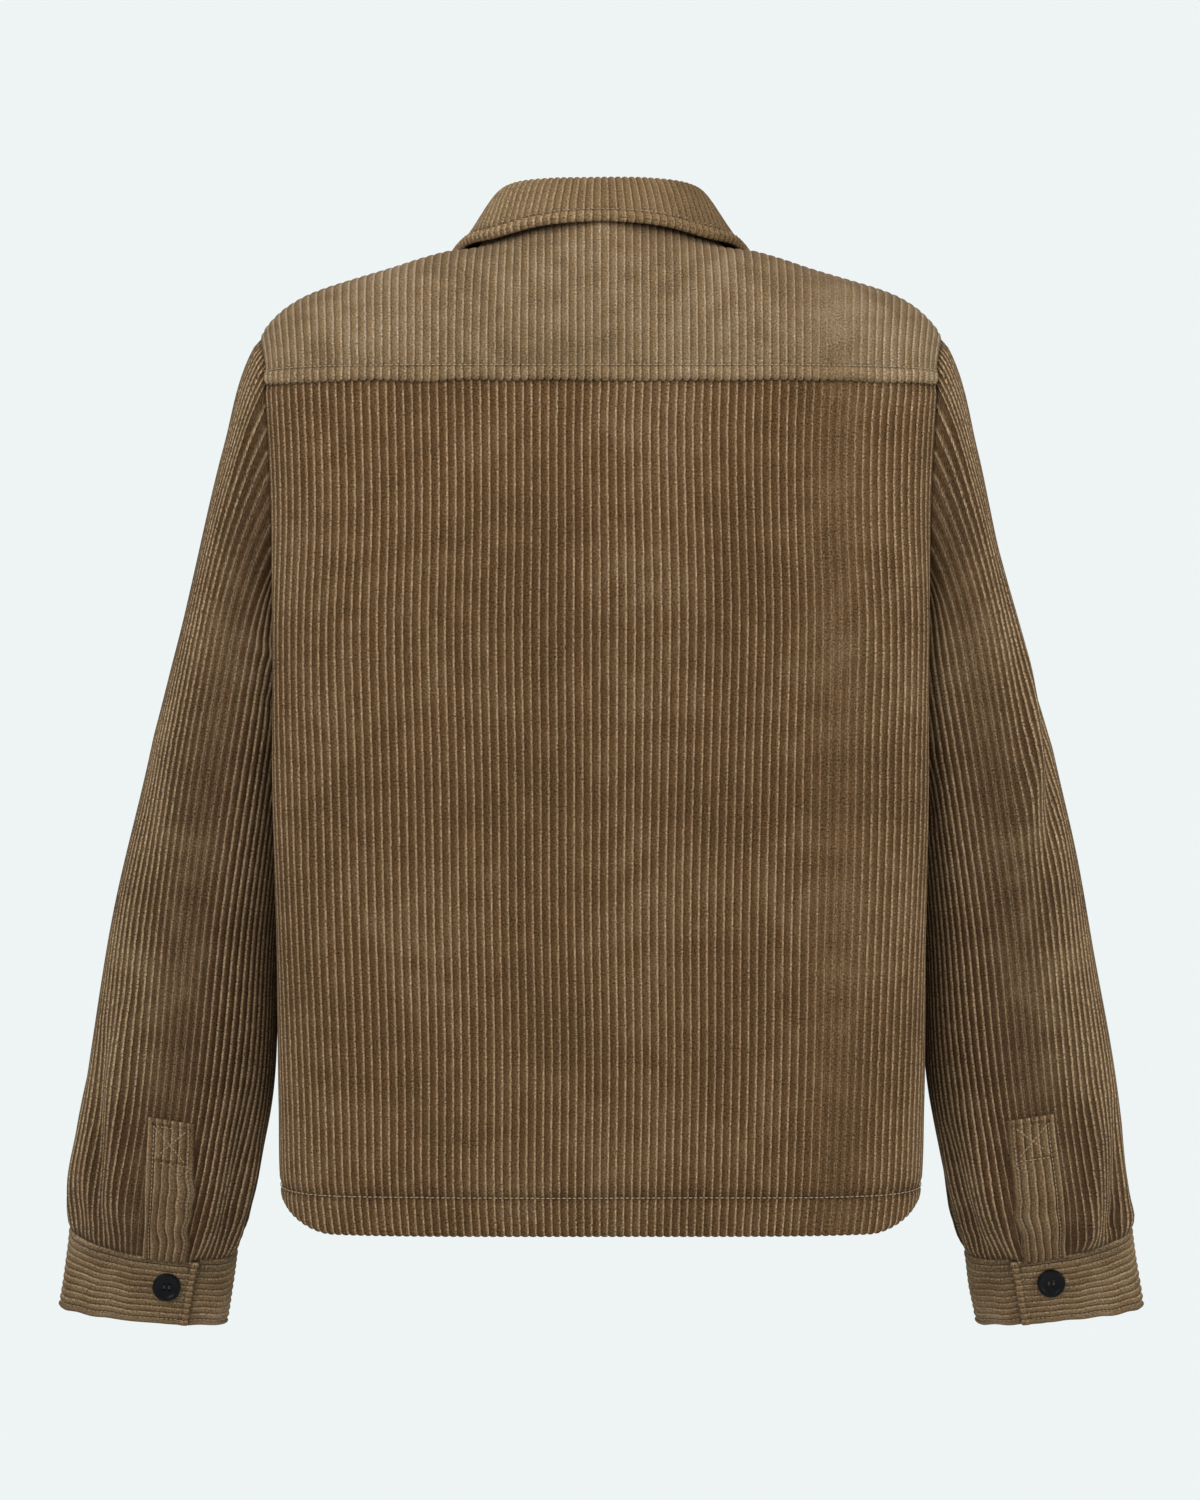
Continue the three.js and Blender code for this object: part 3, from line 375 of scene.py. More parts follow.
def pile_pattern():
    """Corduroy's colour and fine relief: painted shade in the grooves, a painted highlight on one flank of
    each wale, speckled pile, and patches where the pile lies another way."""
    group = bpy.data.node_groups.new("corduroy_pile", "ShaderNodeTree")
    for way, kind, labels in (
        ("INPUT", "NodeSocketColor", ("Body", "Rim", "Groove")),
        ("INPUT", "NodeSocketFloat", ("Rim Amount", "Patches", "Speckle", "Seed")),
        ("OUTPUT", "NodeSocketColor", ("Color",)),
        ("OUTPUT", "NodeSocketFloat", ("Roughness", "Height")),
    ):
        for label in labels:
            group.interface.new_socket(label, in_out=way, socket_type=kind)
    nodes, links = group.nodes, group.links
    given, result = nodes.new("NodeGroupInput"), nodes.new("NodeGroupOutput")

    def maths(kind, first, second=0.0, third=0.0):
        node = nodes.new("ShaderNodeMath")
        node.operation = kind
        for socket, value in zip(node.inputs, (first, second, third)):
            if isinstance(value, (int, float)):
                socket.default_value = value
            else:
                links.new(value, socket)
        return node.outputs[0]

    def curve(value, stops):
        node = nodes.new("ShaderNodeValToRGB")
        elements = node.color_ramp.elements
        while len(elements) < len(stops):
            elements.new(0.5)
        for element, (place, level) in zip(elements, stops):
            element.position = place
            element.color = (level, level, level, 1)
        links.new(value, node.inputs["Fac"])
        return node.outputs["Color"]

    def noise(x, y, scale_x, scale_y, detail):
        joined = nodes.new("ShaderNodeCombineXYZ")
        links.new(maths("MULTIPLY", x, scale_x), joined.inputs["X"])
        links.new(maths("MULTIPLY", y, scale_y), joined.inputs["Y"])
        links.new(given.outputs["Seed"], joined.inputs["Z"])
        node = nodes.new("ShaderNodeTexNoise")
        node.inputs["Scale"].default_value = 1
        node.inputs["Detail"].default_value = detail
        links.new(joined.outputs["Vector"], node.inputs["Vector"])
        return node.outputs["Fac"]

    def blend(kind, amount, first, second):
        node = nodes.new("ShaderNodeMix")
        node.data_type = "RGBA"
        node.blend_type = kind
        for label, value in (("Factor", amount), ("A", first), ("B", second)):
            socket = node.inputs[label]
            if isinstance(value, (int, float)):
                socket.default_value = value
            else:
                links.new(value, socket)
        return node.outputs["Result"]

    map_node = nodes.new("ShaderNodeUVMap")
    map_node.uv_map = "wales"
    split = nodes.new("ShaderNodeSeparateXYZ")
    links.new(map_node.outputs["UV"], split.inputs["Vector"])
    wale, along = split.outputs["X"], split.outputs["Y"]
    painted_light, flank = nodes.new("ShaderNodeAttribute"), nodes.new("ShaderNodeAttribute")
    painted_light.attribute_name, flank.attribute_name = "painted_light", "flank"
    speckle = noise(wale, along, 4.2, 0.78, 2.0)
    fleck = noise(wale, along, 9.0, 1.7, 2.0)
    wander = noise(wale, along, 1.3, 0.16, 2.0)
    broad = noise(wale, along, 0.075, 0.013, 3.0)
    brushed = noise(wale, along, 0.3, 0.06, 4.0)
    phase = maths("FRACT", maths("ADD", wale, maths("MULTIPLY", maths("SUBTRACT", wander, 0.5), 0.16)))
    turned = maths("SUBTRACT", 1.0, phase)
    # A painted highlight on one flank of each wale and painted shade in each groove, placed by the wale's
    # phase; flank picks which flank is lit.
    rim_shape = [(0.0, 0.3), (0.05, 0.85), (0.11, 1.0), (0.18, 0.8), (0.27, 0.15), (0.45, 0.0), (1.0, 0.0)]
    rim_highlight = blend("MIX", flank.outputs["Fac"], curve(phase, rim_shape), curve(turned, rim_shape))
    groove_shape = [(0.0, 0.35), (0.05, 0.0), (0.5, 0.0), (0.75, 0.25), (0.92, 0.75), (1.0, 0.6)]
    groove_shade = blend("MIX", flank.outputs["Fac"], curve(phase, groove_shape), curve(turned, groove_shape))
    uneven = maths("ADD", maths("MULTIPLY", speckle, 0.9), maths("MULTIPLY", broad, 0.7))
    rim_amount = maths("MULTIPLY", given.outputs["Rim Amount"], maths("ADD", 0.2, uneven))
    rimmed = blend("MIX", maths("MULTIPLY", rim_highlight, rim_amount), given.outputs["Body"], given.outputs["Rim"])
    lie = maths("SUBTRACT", maths("ADD", broad, maths("MULTIPLY", brushed, 0.8)), 0.9)
    patch = maths("MULTIPLY", lie, given.outputs["Patches"])
    laid = maths("MAXIMUM", maths("MULTIPLY", patch, 0.6), 0.0)
    laid_over = blend("MIX", laid, rimmed, given.outputs["Rim"])
    grooved = blend("MIX", maths("MULTIPLY", groove_shade, 0.7), laid_over, given.outputs["Groove"])
    patch_light = maths("MULTIPLY", maths("MAXIMUM", maths("MINIMUM", patch, 0.0), -0.17), 0.9)
    specks = maths("SUBTRACT", maths("ADD", speckle, maths("MULTIPLY", fleck, 1.1)), 1.05)
    speck_light = maths("MULTIPLY", specks, given.outputs["Speckle"])
    # The piece's painted light and shade multiply the colour here.
    light = maths("MULTIPLY", maths("ADD", 1.0, maths("ADD", patch_light, speck_light)), painted_light.outputs["Fac"])
    links.new(blend("MULTIPLY", 1.0, grooved, light), result.inputs["Color"])
    links.new(maths("ADD", 0.82, maths("MULTIPLY", speckle, 0.16)), result.inputs["Roughness"])
    links.new(maths("ADD", speckle, maths("MULTIPLY", fleck, 0.6)), result.inputs["Height"])
    return group


corduroy_pile = pile_pattern()


def corduroy(name, body, rim_highlight, groove_shade, rim_amount=0.85, patches=1.0, speckle=2.7, seed=0.0):
    """Matt cotton corduroy with a soft sheen on its pile."""
    material = bpy.data.materials.new(name)
    material.use_nodes = True
    nodes, links = material.node_tree.nodes, material.node_tree.links
    shader = nodes["Principled BSDF"]
    shader.inputs["Specular IOR Level"].default_value = 0.06
    shader.inputs["Sheen Weight"].default_value = 0.05
    shader.inputs["Sheen Roughness"].default_value = 0.45
    shader.inputs["Sheen Tint"].default_value = (0.95, 0.8, 0.58, 1)
    pile = nodes.new("ShaderNodeGroup")
    pile.node_tree = corduroy_pile
    # Rim is the colour of the painted highlight, Groove the colour of the painted shade.
    for label, colour in (("Body", body), ("Rim", rim_highlight), ("Groove", groove_shade)):
        pile.inputs[label].default_value = (*colour, 1)
    amounts = {"Rim Amount": rim_amount, "Patches": patches, "Speckle": speckle, "Seed": seed}
    for label, value in amounts.items():
        pile.inputs[label].default_value = value
    bump = nodes.new("ShaderNodeBump")
    bump.inputs["Distance"].default_value = 0.0004
    bump.inputs["Strength"].default_value = 0.6
    links.new(pile.outputs["Color"], shader.inputs["Base Color"])
    links.new(pile.outputs["Roughness"], shader.inputs["Roughness"])
    links.new(pile.outputs["Height"], bump.inputs["Height"])
    links.new(bump.outputs["Normal"], shader.inputs["Normal"])
    return material


def finished(piece, material, node):
    """Gives a piece of cloth its finish, hangs it from the root, and hides the imported part it stands for.
    """
    piece.data.materials.append(material)
    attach(piece, "root")
    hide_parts(node)


# The corduroy's brown, the colour of the painted highlight on one flank of each wale, and the colour of the
# painted shade in its grooves.
BROWN = (0.092, 0.047, 0.019)
BROWN_RIM_HIGHLIGHT = (0.3, 0.208, 0.118)
BROWN_GROOVE_SHADE = (0.036, 0.018, 0.006)
back_corduroy = corduroy("back_corduroy", BROWN, BROWN_RIM_HIGHLIGHT, BROWN_GROOVE_SHADE, seed=3.0)


def thread_bars(starts, ends, ups, radius=0.3, sink=0.45):
    """Short rounded lengths of thread, each from a start to an end, its ends sunk in the cloth."""
    ahead = (ends - starts) / np.linalg.norm(ends - starts, axis=1, keepdims=True)
    side = np.cross(ups, ahead)
    side /= np.linalg.norm(side, axis=1, keepdims=True)
    ring = np.arange(6) * np.pi / 3
    levels = []
    for share, size, drop in ((0, 0.35, -sink), (0.25, 1, 0), (0.75, 1, 0), (1, 0.35, -sink)):
        centre = starts + share * (ends - starts) + drop * ups
        around = np.cos(ring)[None, :, None] * side[:, None] + np.sin(ring)[None, :, None] * ups[:, None]
        levels.append(centre[:, None] + radius * size * around)
    return np.stack(levels, axis=1).reshape(-1, 3)


def stitches(path, normals, pitch=3.4, length=2.5, radius=0.3):
    """Topstitching along a path."""
    place = lengths(path)
    first = np.arange(pitch / 2, place[-1] - length, pitch)

    def at(values, where):
        return np.stack([np.interp(where, place, values[:, k]) for k in range(3)], axis=1)

    ups = at(normals, first + length / 2)
    ups /= np.linalg.norm(ups, axis=1, keepdims=True)
    return thread_bars(at(path, first), at(path, first + length), ups, radius)


def buttonhole(centre, along, up, length):
    """Close stitches down both sides of a short slit."""
    across = np.cross(up, along)
    where = np.arange(-length / 2, length / 2, 0.55)
    middle = centre + where[:, None] * along
    ups = np.broadcast_to(up, middle.shape)
    sides = [
        thread_bars(middle + s * 0.2 * across, middle + s * 1.5 * across, ups, 0.28, 0.3) for s in (-1, 1)
    ]
    return np.concatenate(sides)


def thread_piece(name, runs, material):
    """All the stitches of one piece of cloth as one object."""
    points = np.concatenate([run for run in runs if len(run)]) * 0.001
    faces = []
    for first in range(0, len(points), 24):
        for level in range(3):
            low, high = first + 6 * level, first + 6 * level + 6
            faces.extend([(low + k, low + (k + 1) % 6, high + (k + 1) % 6, high + k) for k in range(6)])
        faces.append(tuple(range(first + 5, first - 1, -1)))
        faces.append(tuple(range(first + 18, first + 24)))
    mesh = bpy.data.meshes.new(name)
    mesh.from_pydata(points.tolist(), [], faces)
    mesh.shade_smooth()
    mesh.materials.append(material)
    piece = bpy.data.objects.new(name, mesh)
    bpy.context.collection.objects.link(piece)
    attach(piece, "root")
    return piece


def sewing_thread(name, colour):
    """Polyester thread, slightly glossy, with a fine twist."""
    material = bpy.data.materials.new(name)
    material.use_nodes = True
    nodes, links = material.node_tree.nodes, material.node_tree.links
    shader = nodes["Principled BSDF"]
    place = nodes.new("ShaderNodeTexCoord")
    twist = nodes.new("ShaderNodeTexNoise")
    twist.inputs["Scale"].default_value = 900
    tint = nodes.new("ShaderNodeMix")
    tint.data_type = "RGBA"
    tint.inputs["A"].default_value = (*(0.7 * c for c in colour), 1)
    tint.inputs["B"].default_value = (*(1.25 * c for c in colour), 1)
    links.new(place.outputs["Object"], twist.inputs["Vector"])
    links.new(twist.outputs["Fac"], tint.inputs["Factor"])
    links.new(tint.outputs["Result"], shader.inputs["Base Color"])
    shader.inputs["Roughness"].default_value = 0.55
    return material


brown_thread = sewing_thread("brown_thread", (0.37, 0.275, 0.165))


def panel_flank(points):
    """Which flank of the wales catches the light: the wearer's left one, but for the far right."""
    return ramp(-points[..., 0], 120, 185)


def build_back():
    columns = BACK_WALES * FINE + 1
    share = np.linspace(-1, 1, columns) * (1 - SEAM_GAP / HALF_GIRTH)
    place = np.abs(share)
    top = np.where(place <= BACK_ARM + 1e-6, YOKE_Z - SEAM_GAP, armhole_height(share, BACK_ARM) - SEAM_GAP)
    heights, foot, depth = column_heights(share, top, 84)
    across = np.broadcast_to(share * HALF_GIRTH, heights.shape)
    steady = ramp(top[None] - heights, 0, 30) * ramp(HALF_GIRTH - np.abs(across), 0, 30)
    sway = 1.8 * slack(across, heights, 150, 4) * steady
    base = body_points(share[None] + sway / HALF_GIRTH, heights, "back")
    normals = outward(base, -1)
    inside = ramp(top[None] - heights, 0, 40) * ramp(HALF_GIRTH - np.abs(across), 2, 40)
    loose = creases(BACK_CREASES, across, heights) + 1.2 * slack(across, heights, 210, 5)
    base = base + normals * (loose * inside)[..., None]
    normals = outward(base, -1)
    stitch = heights - foot[None] - depth[None]
    pinch = 1.1 * np.exp(-((stitch / 2.2) ** 2))
    edge = 1 - ramp(heights - foot[None], 0, 2.2)
    seam = 1 - ramp(top[None] - heights, 0, 3.5)
    side_seam = 1 - ramp(HALF_GIRTH - np.abs(across), 0, 3)
    relief = wale_relief(columns, 0.6)[None] * (1 - 0.45 * pinch) * (1 - 0.55 * seam)
    relief = relief - 0.8 * pinch - 1.1 * edge - 0.9 * seam - 0.8 * side_seam
    outer = scallop(base + normals * relief[..., None], -edge, columns)
    thick = np.where(stitch <= 0, DOUBLE_CLOTH, CLOTH) - 1.2 * edge
    inner = (base - normals * thick[..., None])[:, ::FINE]
    # Painted shadow under the yoke's welt and painted shade in the hem's stitched pinch, then the back
    # painted a little lighter towards the top, as lit from above.
    painted_light = 1 - 0.2 * np.exp(-((top[None] - heights) / 6) ** 2) * (place < BACK_ARM)[None] - 0.4 * pinch
    painted_light = painted_light + 0.06 * ramp(heights, -260, -100) * (1 - seam)
    back = cloth_shell("back_panel", outer, inner, painted_light=painted_light, flank=panel_flank(base))
    finished(back, back_corduroy, "back")
    hem_line = len(HEM_ROWS) - 2
    runs = [stitches((base + normals * 0.35)[hem_line], normals[hem_line])]
    arm_inset, side_inset = 0.022, 0.985
    for end in (1, -1):
        picked = np.nonzero((share * end > BACK_ARM + arm_inset) & (share * end < side_inset))[0]
        heights_in = armhole_height(share[picked] * end - arm_inset, BACK_ARM) - 5
        line, above = (body_points(share[picked] * side_inset, heights_in + up, "back") for up in (0, 2))
        facing = outward(np.stack([line, above]), -1)[0]
        runs.append(stitches(line + facing * 0.9, facing))
    thread_piece("back_topstitching", runs, brown_thread)


build_back()

# Yoke: one piece over both shoulders, its wales running front to back, its back seam turned
# up and topstitched so that it stands as a narrow padded band, its front seam plain.
SHOULDER_Y = -5
FRONT_SEAM_Y = -45
NECK_BACK = 63
NECK_FRONT_Y = -88
YOKE_WALES = 88
NECK_WALES = 32
NECK_SHARE = NECK_WALES / YOKE_WALES
FRONT_WALES = 56
FRONT_LAP = 0.055
FRONT_ARM = -FRONT_LAP + (1 + FRONT_LAP) * YOKE_WALES / (2 * FRONT_WALES)
WELT_DEPTH = 9
WELT_HEIGHT = 1.2
SHOULDER = {
    "x": [0, 40, 76, 101, 120, 141, 187, 208, 221, 228],
    "z": [43, 23, 2, -2.5, -7.5, -14, -27, -37, -49, -60],
}
YOKE_CREASES = [
    {"path": [(-30, 20), (-60, 60)], "reach": 12, "lift": -1.2},
    {"path": [(30, 22), (62, 58)], "reach": 12, "lift": -1.1},
    {"path": [(120, 12), (190, 30)], "reach": 9, "lift": 1.0},
    {"path": [(-120, 14), (-186, 30)], "reach": 9, "lift": 1.0},
    {"path": [(-80, 6), (-10, 14)], "reach": 8, "lift": 0.8},
]


def shoulder_ridge(place):
    """The shoulder line from the neck to the sleeve, by its length."""
    steps = np.arange(len(SHOULDER["x"]))
    dense = np.linspace(0, steps[-1], 600)
    x, z = smooth(steps, SHOULDER["x"], dense), smooth(steps, SHOULDER["z"], dense)
    length = np.concatenate([[0], np.cumsum(np.hypot(np.diff(x), np.diff(z)))])
    wanted = np.clip(np.abs(place), 0, 1) * length[-1]
    return np.interp(wanted, length, x), np.interp(wanted, length, z)


def shoulder_fullness(place, face):
    """Below one where the back is fuller than a plain quarter round, towards the neck."""
    return 1 - (0.22 if face == "back" else 0) * (1 - ramp(place, 0.36, 0.8))


def shoulder_points(share, turn, face):
    """The shoulder from the yoke's seam or the chest, turn 0, to the shoulder line."""
    share, turn = np.broadcast_arrays(np.asarray(share, float), np.asarray(turn, float))
    place = np.abs(share)
    arm, foot = (BACK_ARM, YOKE_Z) if face == "back" else (FRONT_ARM, CHEST_Z)
    start = body_points(place * arm, foot, face)
    ridge_x, ridge_z = shoulder_ridge(place)
    fullness = shoulder_fullness(place, face)
    rise = np.clip(np.sin(turn), 0, 1) ** fullness
    x = start[..., 0] + (ridge_x - start[..., 0]) * np.sin(turn) ** 2
    y = SHOULDER_Y + (start[..., 1] - SHOULDER_Y) * np.clip(np.cos(turn), 0, 1) ** fullness
    z = start[..., 2] + (ridge_z - start[..., 2]) * rise
    return np.stack([x * np.where(share < 0, -1, 1), y, z], axis=-1)


def turn_at_depth(share, depth, face):
    """The turn at which the shoulder is at a given depth, front to back."""
    low = shoulder_points(share, 0.0, face)[..., 1] - SHOULDER_Y
    reached = np.clip((depth - SHOULDER_Y) / low, 0, 1)
    return np.arccos(reached ** (1 / shoulder_fullness(np.abs(share), face)))


def over_shoulder(share, around):
    """The shoulder in one sweep, from the back seam over the top towards the chest."""
    share, around = np.broadcast_arrays(np.asarray(share, float), np.asarray(around, float))
    back = shoulder_points(share, np.minimum(around, np.pi / 2), "back")
    front = shoulder_points(share, np.pi - np.maximum(around, np.pi / 2), "front")
    return np.where((around <= np.pi / 2)[..., None], back, front)


def yoke_turns(share):
    """Turns of the yoke's rows: close in the topstitched band, then even to the neck or
    shoulder line, then on to the front seam."""
    place = np.abs(share)
    roundness = np.sqrt(np.clip(1 - (place / NECK_SHARE) ** 2, 0, 1))
    neck_end = turn_at_depth(place, SHOULDER_Y + NECK_BACK * roundness, "back")
    end = np.where(place < NECK_SHARE - 1e-6, neck_end, np.pi / 2)
    band = np.array([0, 0.7, 1.6, 3.4, 5.8, 7.3, 8.1, 8.9, 10])
    dense = np.linspace(0, np.pi / 2, 241)
    line = shoulder_points(share[None], dense[:, None], "back")
    gone = lengths(line)
    back, up = [], []
    for column in range(len(share)):
        length = np.interp(end[column], dense, gone[:, column])
        wanted = np.concatenate([band, band[-1] + (length - band[-1]) * np.linspace(0, 1, 42)[1:]])
        up.append(wanted)
        back.append(np.interp(wanted, gone[:, column], dense))
    back, up = np.stack(back, axis=1), np.stack(up, axis=1)
    seam = np.pi - turn_at_depth(share, FRONT_SEAM_Y, "front")
    down = np.pi / 2 + (seam[None] - np.pi / 2) * np.linspace(0, 1, 15)[1:, None]
    return np.concatenate([back, down]), np.concatenate([up, up[-1:] + (down - np.pi / 2) * 60]), len(back)


def build_yoke():
    columns = YOKE_WALES * FINE + 1
    share = np.linspace(-1, 1, columns)
    around, up, back_rows = yoke_turns(share)
    base = over_shoulder(np.broadcast_to(share, around.shape), around)
    normals = outward(base, -1)
    across = base[..., 0]
    inside = ramp(up, 6, 24) * ramp(1 - np.abs(share)[None], 0.01, 0.12)
    loose = creases(YOKE_CREASES, across, up) + 1.1 * slack(across, up, 90, 11)
    base = base + normals * (loose * inside)[..., None]
    normals = outward(base, -1)
    welt = WELT_HEIGHT * (1 - ramp(up, WELT_DEPTH - 0.6, WELT_DEPTH + 0.8))
    welt = welt * (0.75 + 0.5 * wale_relief(columns, 1.0)[None])
    pinch = np.exp(-(((up - WELT_DEPTH + 0.9) / 0.9) ** 2))
    lip = 1 - ramp(up, 0, 1.4)
    arm = 1 - ramp(1 - np.abs(share)[None], 0, 0.016)
    relief = wale_relief(columns, 0.65)[None] * (1 - 0.5 * pinch) * (1 - 0.5 * arm)
    relief = relief + welt - 1.3 * pinch - 0.9 * lip - 0.6 * arm
    outer = scallop(base + normals * relief[..., None], -lip, columns, 1.7)
    droop = 0.9 * (1 + 1.6 * slack(across, 0, 44, 13)) * (1 - ramp(up, 3, 12))
    outer[..., 2] -= droop * (np.abs(share)[None] < 0.97)
    inner = (base - normals * CLOTH)[:, ::FINE]
    cells = np.arange(YOKE_WALES)
    in_neck = np.abs(cells + 0.5 - YOKE_WALES / 2) < NECK_WALES / 2
    present = np.ones((len(around) - 1, YOKE_WALES), bool)
    present[back_rows - 1 :, in_neck] = False
    # A painted highlight on the raised welt, and painted shade in the stitched pinch and at the seam's lip.
    painted_light = 1 + 0.14 * welt / WELT_HEIGHT - 0.35 * pinch - 0.1 * lip
    yoke = cloth_shell("yoke_panel", outer, inner, present=present, painted_light=painted_light, flank=panel_flank(base))
    # The yoke's copy of the corduroy is lighter than the back's: painted light on a piece that faces up, with
    # its pile lying another way.
    yoke_corduroy = corduroy(
        "yoke_corduroy", (0.168, 0.106, 0.051), (0.35, 0.27, 0.18), (0.05, 0.03, 0.014),
        rim_amount=0.7, patches=1.6, speckle=2.2, seed=11.0,
    )
    finished(yoke, yoke_corduroy, "yoke")
    thread_row = 6
    line = (base + normals * 0.95)[thread_row]
    thread_piece("yoke_topstitching", [stitches(line, normals[thread_row])], brown_thread)


build_yoke()

# Fronts: two panels that button left over right, each with its own front band turned in and
# topstitched, the neck scooped and the armhole cut like the back's.
LAP_LIFT = 4.6
CHEST_TURN = 100
FRONT_BAND = 33
FRONT_NECK_SHARE = NECK_SHARE * FRONT_ARM
FRONT_CREASES = [
    {"path": [(60, -640), (70, -450)], "reach": 20, "lift": 1.8},
    {"path": [(150, -620), (132, -430)], "reach": 22, "lift": -1.8},
    {"path": [(205, -340), (130, -190)], "reach": 14, "lift": 2.0},
    {"path": [(190, -420), (110, -330)], "reach": 18, "lift": -1.4},
]
front_corduroy = corduroy("front_corduroy", BROWN, BROWN_RIM_HIGHLIGHT, BROWN_GROOVE_SHADE, seed=21.0)


def front_points(share, height):
    """Points of the left front, which turns back towards the shoulder above the chest."""
    share, height = np.broadcast_arrays(np.asarray(share, float), np.asarray(height, float))
    chest = body_points(share, np.minimum(height, CHEST_Z), "front")
    upper = shoulder_points(share / FRONT_ARM, np.clip(height - CHEST_Z, 0, None) / CHEST_TURN, "front")
    return np.where((height <= CHEST_Z)[..., None], chest, upper)


def front_top(share):
    """Height of the front's upper edge: the neck, the yoke's seam and the armhole."""
    place = np.abs(share)
    roundness = np.sqrt(np.clip(1 - (place / FRONT_NECK_SHARE) ** 2, 0, 1))
    depth = FRONT_SEAM_Y + (NECK_FRONT_Y - FRONT_SEAM_Y) * roundness - SEAM_GAP
    chest = CHEST_Z + CHEST_TURN * turn_at_depth(np.minimum(place / FRONT_ARM, 1), depth, "front")
    return np.where(place > FRONT_ARM + 1e-6, armhole_height(share, FRONT_ARM) - SEAM_GAP, chest)


def build_front(side_name, side, lap_lift):
    columns = FRONT_WALES * FINE + 1
    share = np.linspace(-FRONT_LAP, 1 - SEAM_GAP / HALF_GIRTH, columns)
    top = front_top(share)
    heights, foot, depth = column_heights(share, top, 84)
    base = front_points(np.broadcast_to(share, heights.shape), heights)
    base[..., 0] *= side
    normals = outward(base, side)
    across = np.broadcast_to(share * HALF_GIRTH, heights.shape)
    inside = ramp(top[None] - heights, 0, 40) * ramp(HALF_GIRTH - across, 2, 40) * ramp(across, 20, 70)
    loose = creases(FRONT_CREASES, across, heights) + 1.2 * slack(across, heights, 200, 23 + side)
    lap = lap_lift * (1 - ramp(share, 0.06, 0.16))
    base = base + normals * (loose * inside + lap[None])[..., None]
    normals = outward(base, side)
    stitch = heights - foot[None] - depth[None]
    pinch = np.exp(-((stitch / 2.2) ** 2))
    edge = 1 - ramp(heights - foot[None], 0, 2.2)
    seam = 1 - ramp(top[None] - heights, 0, 3.5)
    band = np.exp(-(((across + FRONT_LAP * HALF_GIRTH - FRONT_BAND) / 1.6) ** 2))
    lip = 1 - ramp(across + FRONT_LAP * HALF_GIRTH, 0, 2)
    relief = wale_relief(columns)[None] * (1 - 0.55 * seam)
    relief = relief - 0.8 * pinch - 1.1 * edge - 0.9 * seam - 0.6 * band - 0.8 * lip
    outer = scallop(base + normals * relief[..., None], -edge, columns)
    thick = np.where(stitch <= 0, DOUBLE_CLOTH, CLOTH) - 1.2 * edge
    inner = (base - normals * thick[..., None])[:, ::FINE]
    # Painted shade in the hem's stitched pinch and along the front band's stitching.
    painted_light = 1 - 0.25 * pinch - 0.2 * band
    flank = ramp(base[..., 0], 120, 185)
    panel = cloth_shell(f"front_panel_{side_name}", outer, inner, painted_light=painted_light, flank=flank)
    finished(panel, front_corduroy, f"front_{side_name}")
    hem_line = len(HEM_ROWS) - 2
    lifted = base + normals * 0.7
    runs = [stitches(lifted[hem_line], normals[hem_line])]
    for column in (6, FRONT_BAND * columns // 299):
        runs.append(stitches(lifted[:, column] + normals[:, column] * 0.25, normals[:, column]))
    thread_piece(f"front_topstitching_{side_name}", runs, brown_thread)


build_front("left", 1, LAP_LIFT)
build_front("right", -1, 0)

# Sleeves: each one piece of corduroy, seamed under the arm, set into the armhole and gathered
# at the wrist. They hang a little forward and carry soft folds at the elbow and the cuff.
SLEEVE_WALES = 72
SLEEVE_POWER = 2.3
BICEPS_Z = -272
CUFF_TOP_Z = -669
CUFF_BOTTOM_Z = -722
CUFF_LAP = {"sweep": 402, "lift": 3.2}
WRISTS = {
    "left": {"lap_edge": 131, "button": 0.054, "button_down": 0.4, "placket": 0.0, "placket_top": -577},
    "right": {"lap_edge": 125, "button": 0.073, "button_down": 0.37, "placket": -0.033, "placket_top": -575},
}
SLEEVE = {
    "height": [-722, -669, -642, -573, -435, -355, -272],
    "x": [314, 305.5, 300.5, 287.5, 270.5, 258, 243.5],
    "y": [-50, -46, -41, -32, -25, -22, -22],
    "wide": [57, 57, 59, 62, 54, 49, 43],
    "deep": [24, 25, 38, 46, 61, 68, 70],
    "tilt": [6, 8.5, 8.5, 9, 12, 13, 14],
    "pitch": [0, 18, 12, 5, 2, 1, 0],
}
CAP = {"wale": [0, 1 / 3, 5 / 9, 1], "armhole": [0, 0.28, 0.72, 1]}
HALF_SLEEVE = 165
CAP_ROWS = 34
RING_ROWS = 78
LEFT_CREASES = [
    {"path": [(0, 20), (0, -330)], "reach": 48, "lift": -5.4},
    {"path": [(164, -268), (128, -276), (84, -258)], "reach": 8, "lift": 3.4},
    {"path": [(166, -296), (134, -304), (100, -296)], "reach": 7, "lift": -2.8},
    {"path": [(162, -345), (120, -356)], "reach": 9, "lift": 2.4},
    {"path": [(50, -500), (46, -560), (54, -612), (80, -700)], "reach": 8, "lift": 5.6},
    {"path": [(30, -520), (32, -580), (42, -640), (58, -710)], "reach": 7, "lift": -4.6},
    {"path": [(116, -590), (122, -710)], "reach": 7, "lift": 4.0},
    {"path": [(132, -550), (134, -710)], "reach": 7, "lift": -3.6},
    {"path": [(150, -590), (148, -710)], "reach": 7, "lift": 3.2},
    {"path": [(8, -560), (14, -700)], "reach": 8, "lift": 3.0},
    {"path": [(-60, -590), (-66, -700)], "reach": 10, "lift": 3.0},
    {"path": [(-110, -580), (-104, -700)], "reach": 10, "lift": 2.8},
    {"path": [(-156, -296), (-76, -334)], "reach": 14, "lift": 2.8},
    {"path": [(-36, -376), (-96, -426)], "reach": 18, "lift": 2.4},
    {"path": [(36, -340), (60, -440), (74, -580)], "reach": 14, "lift": -1.8},
]
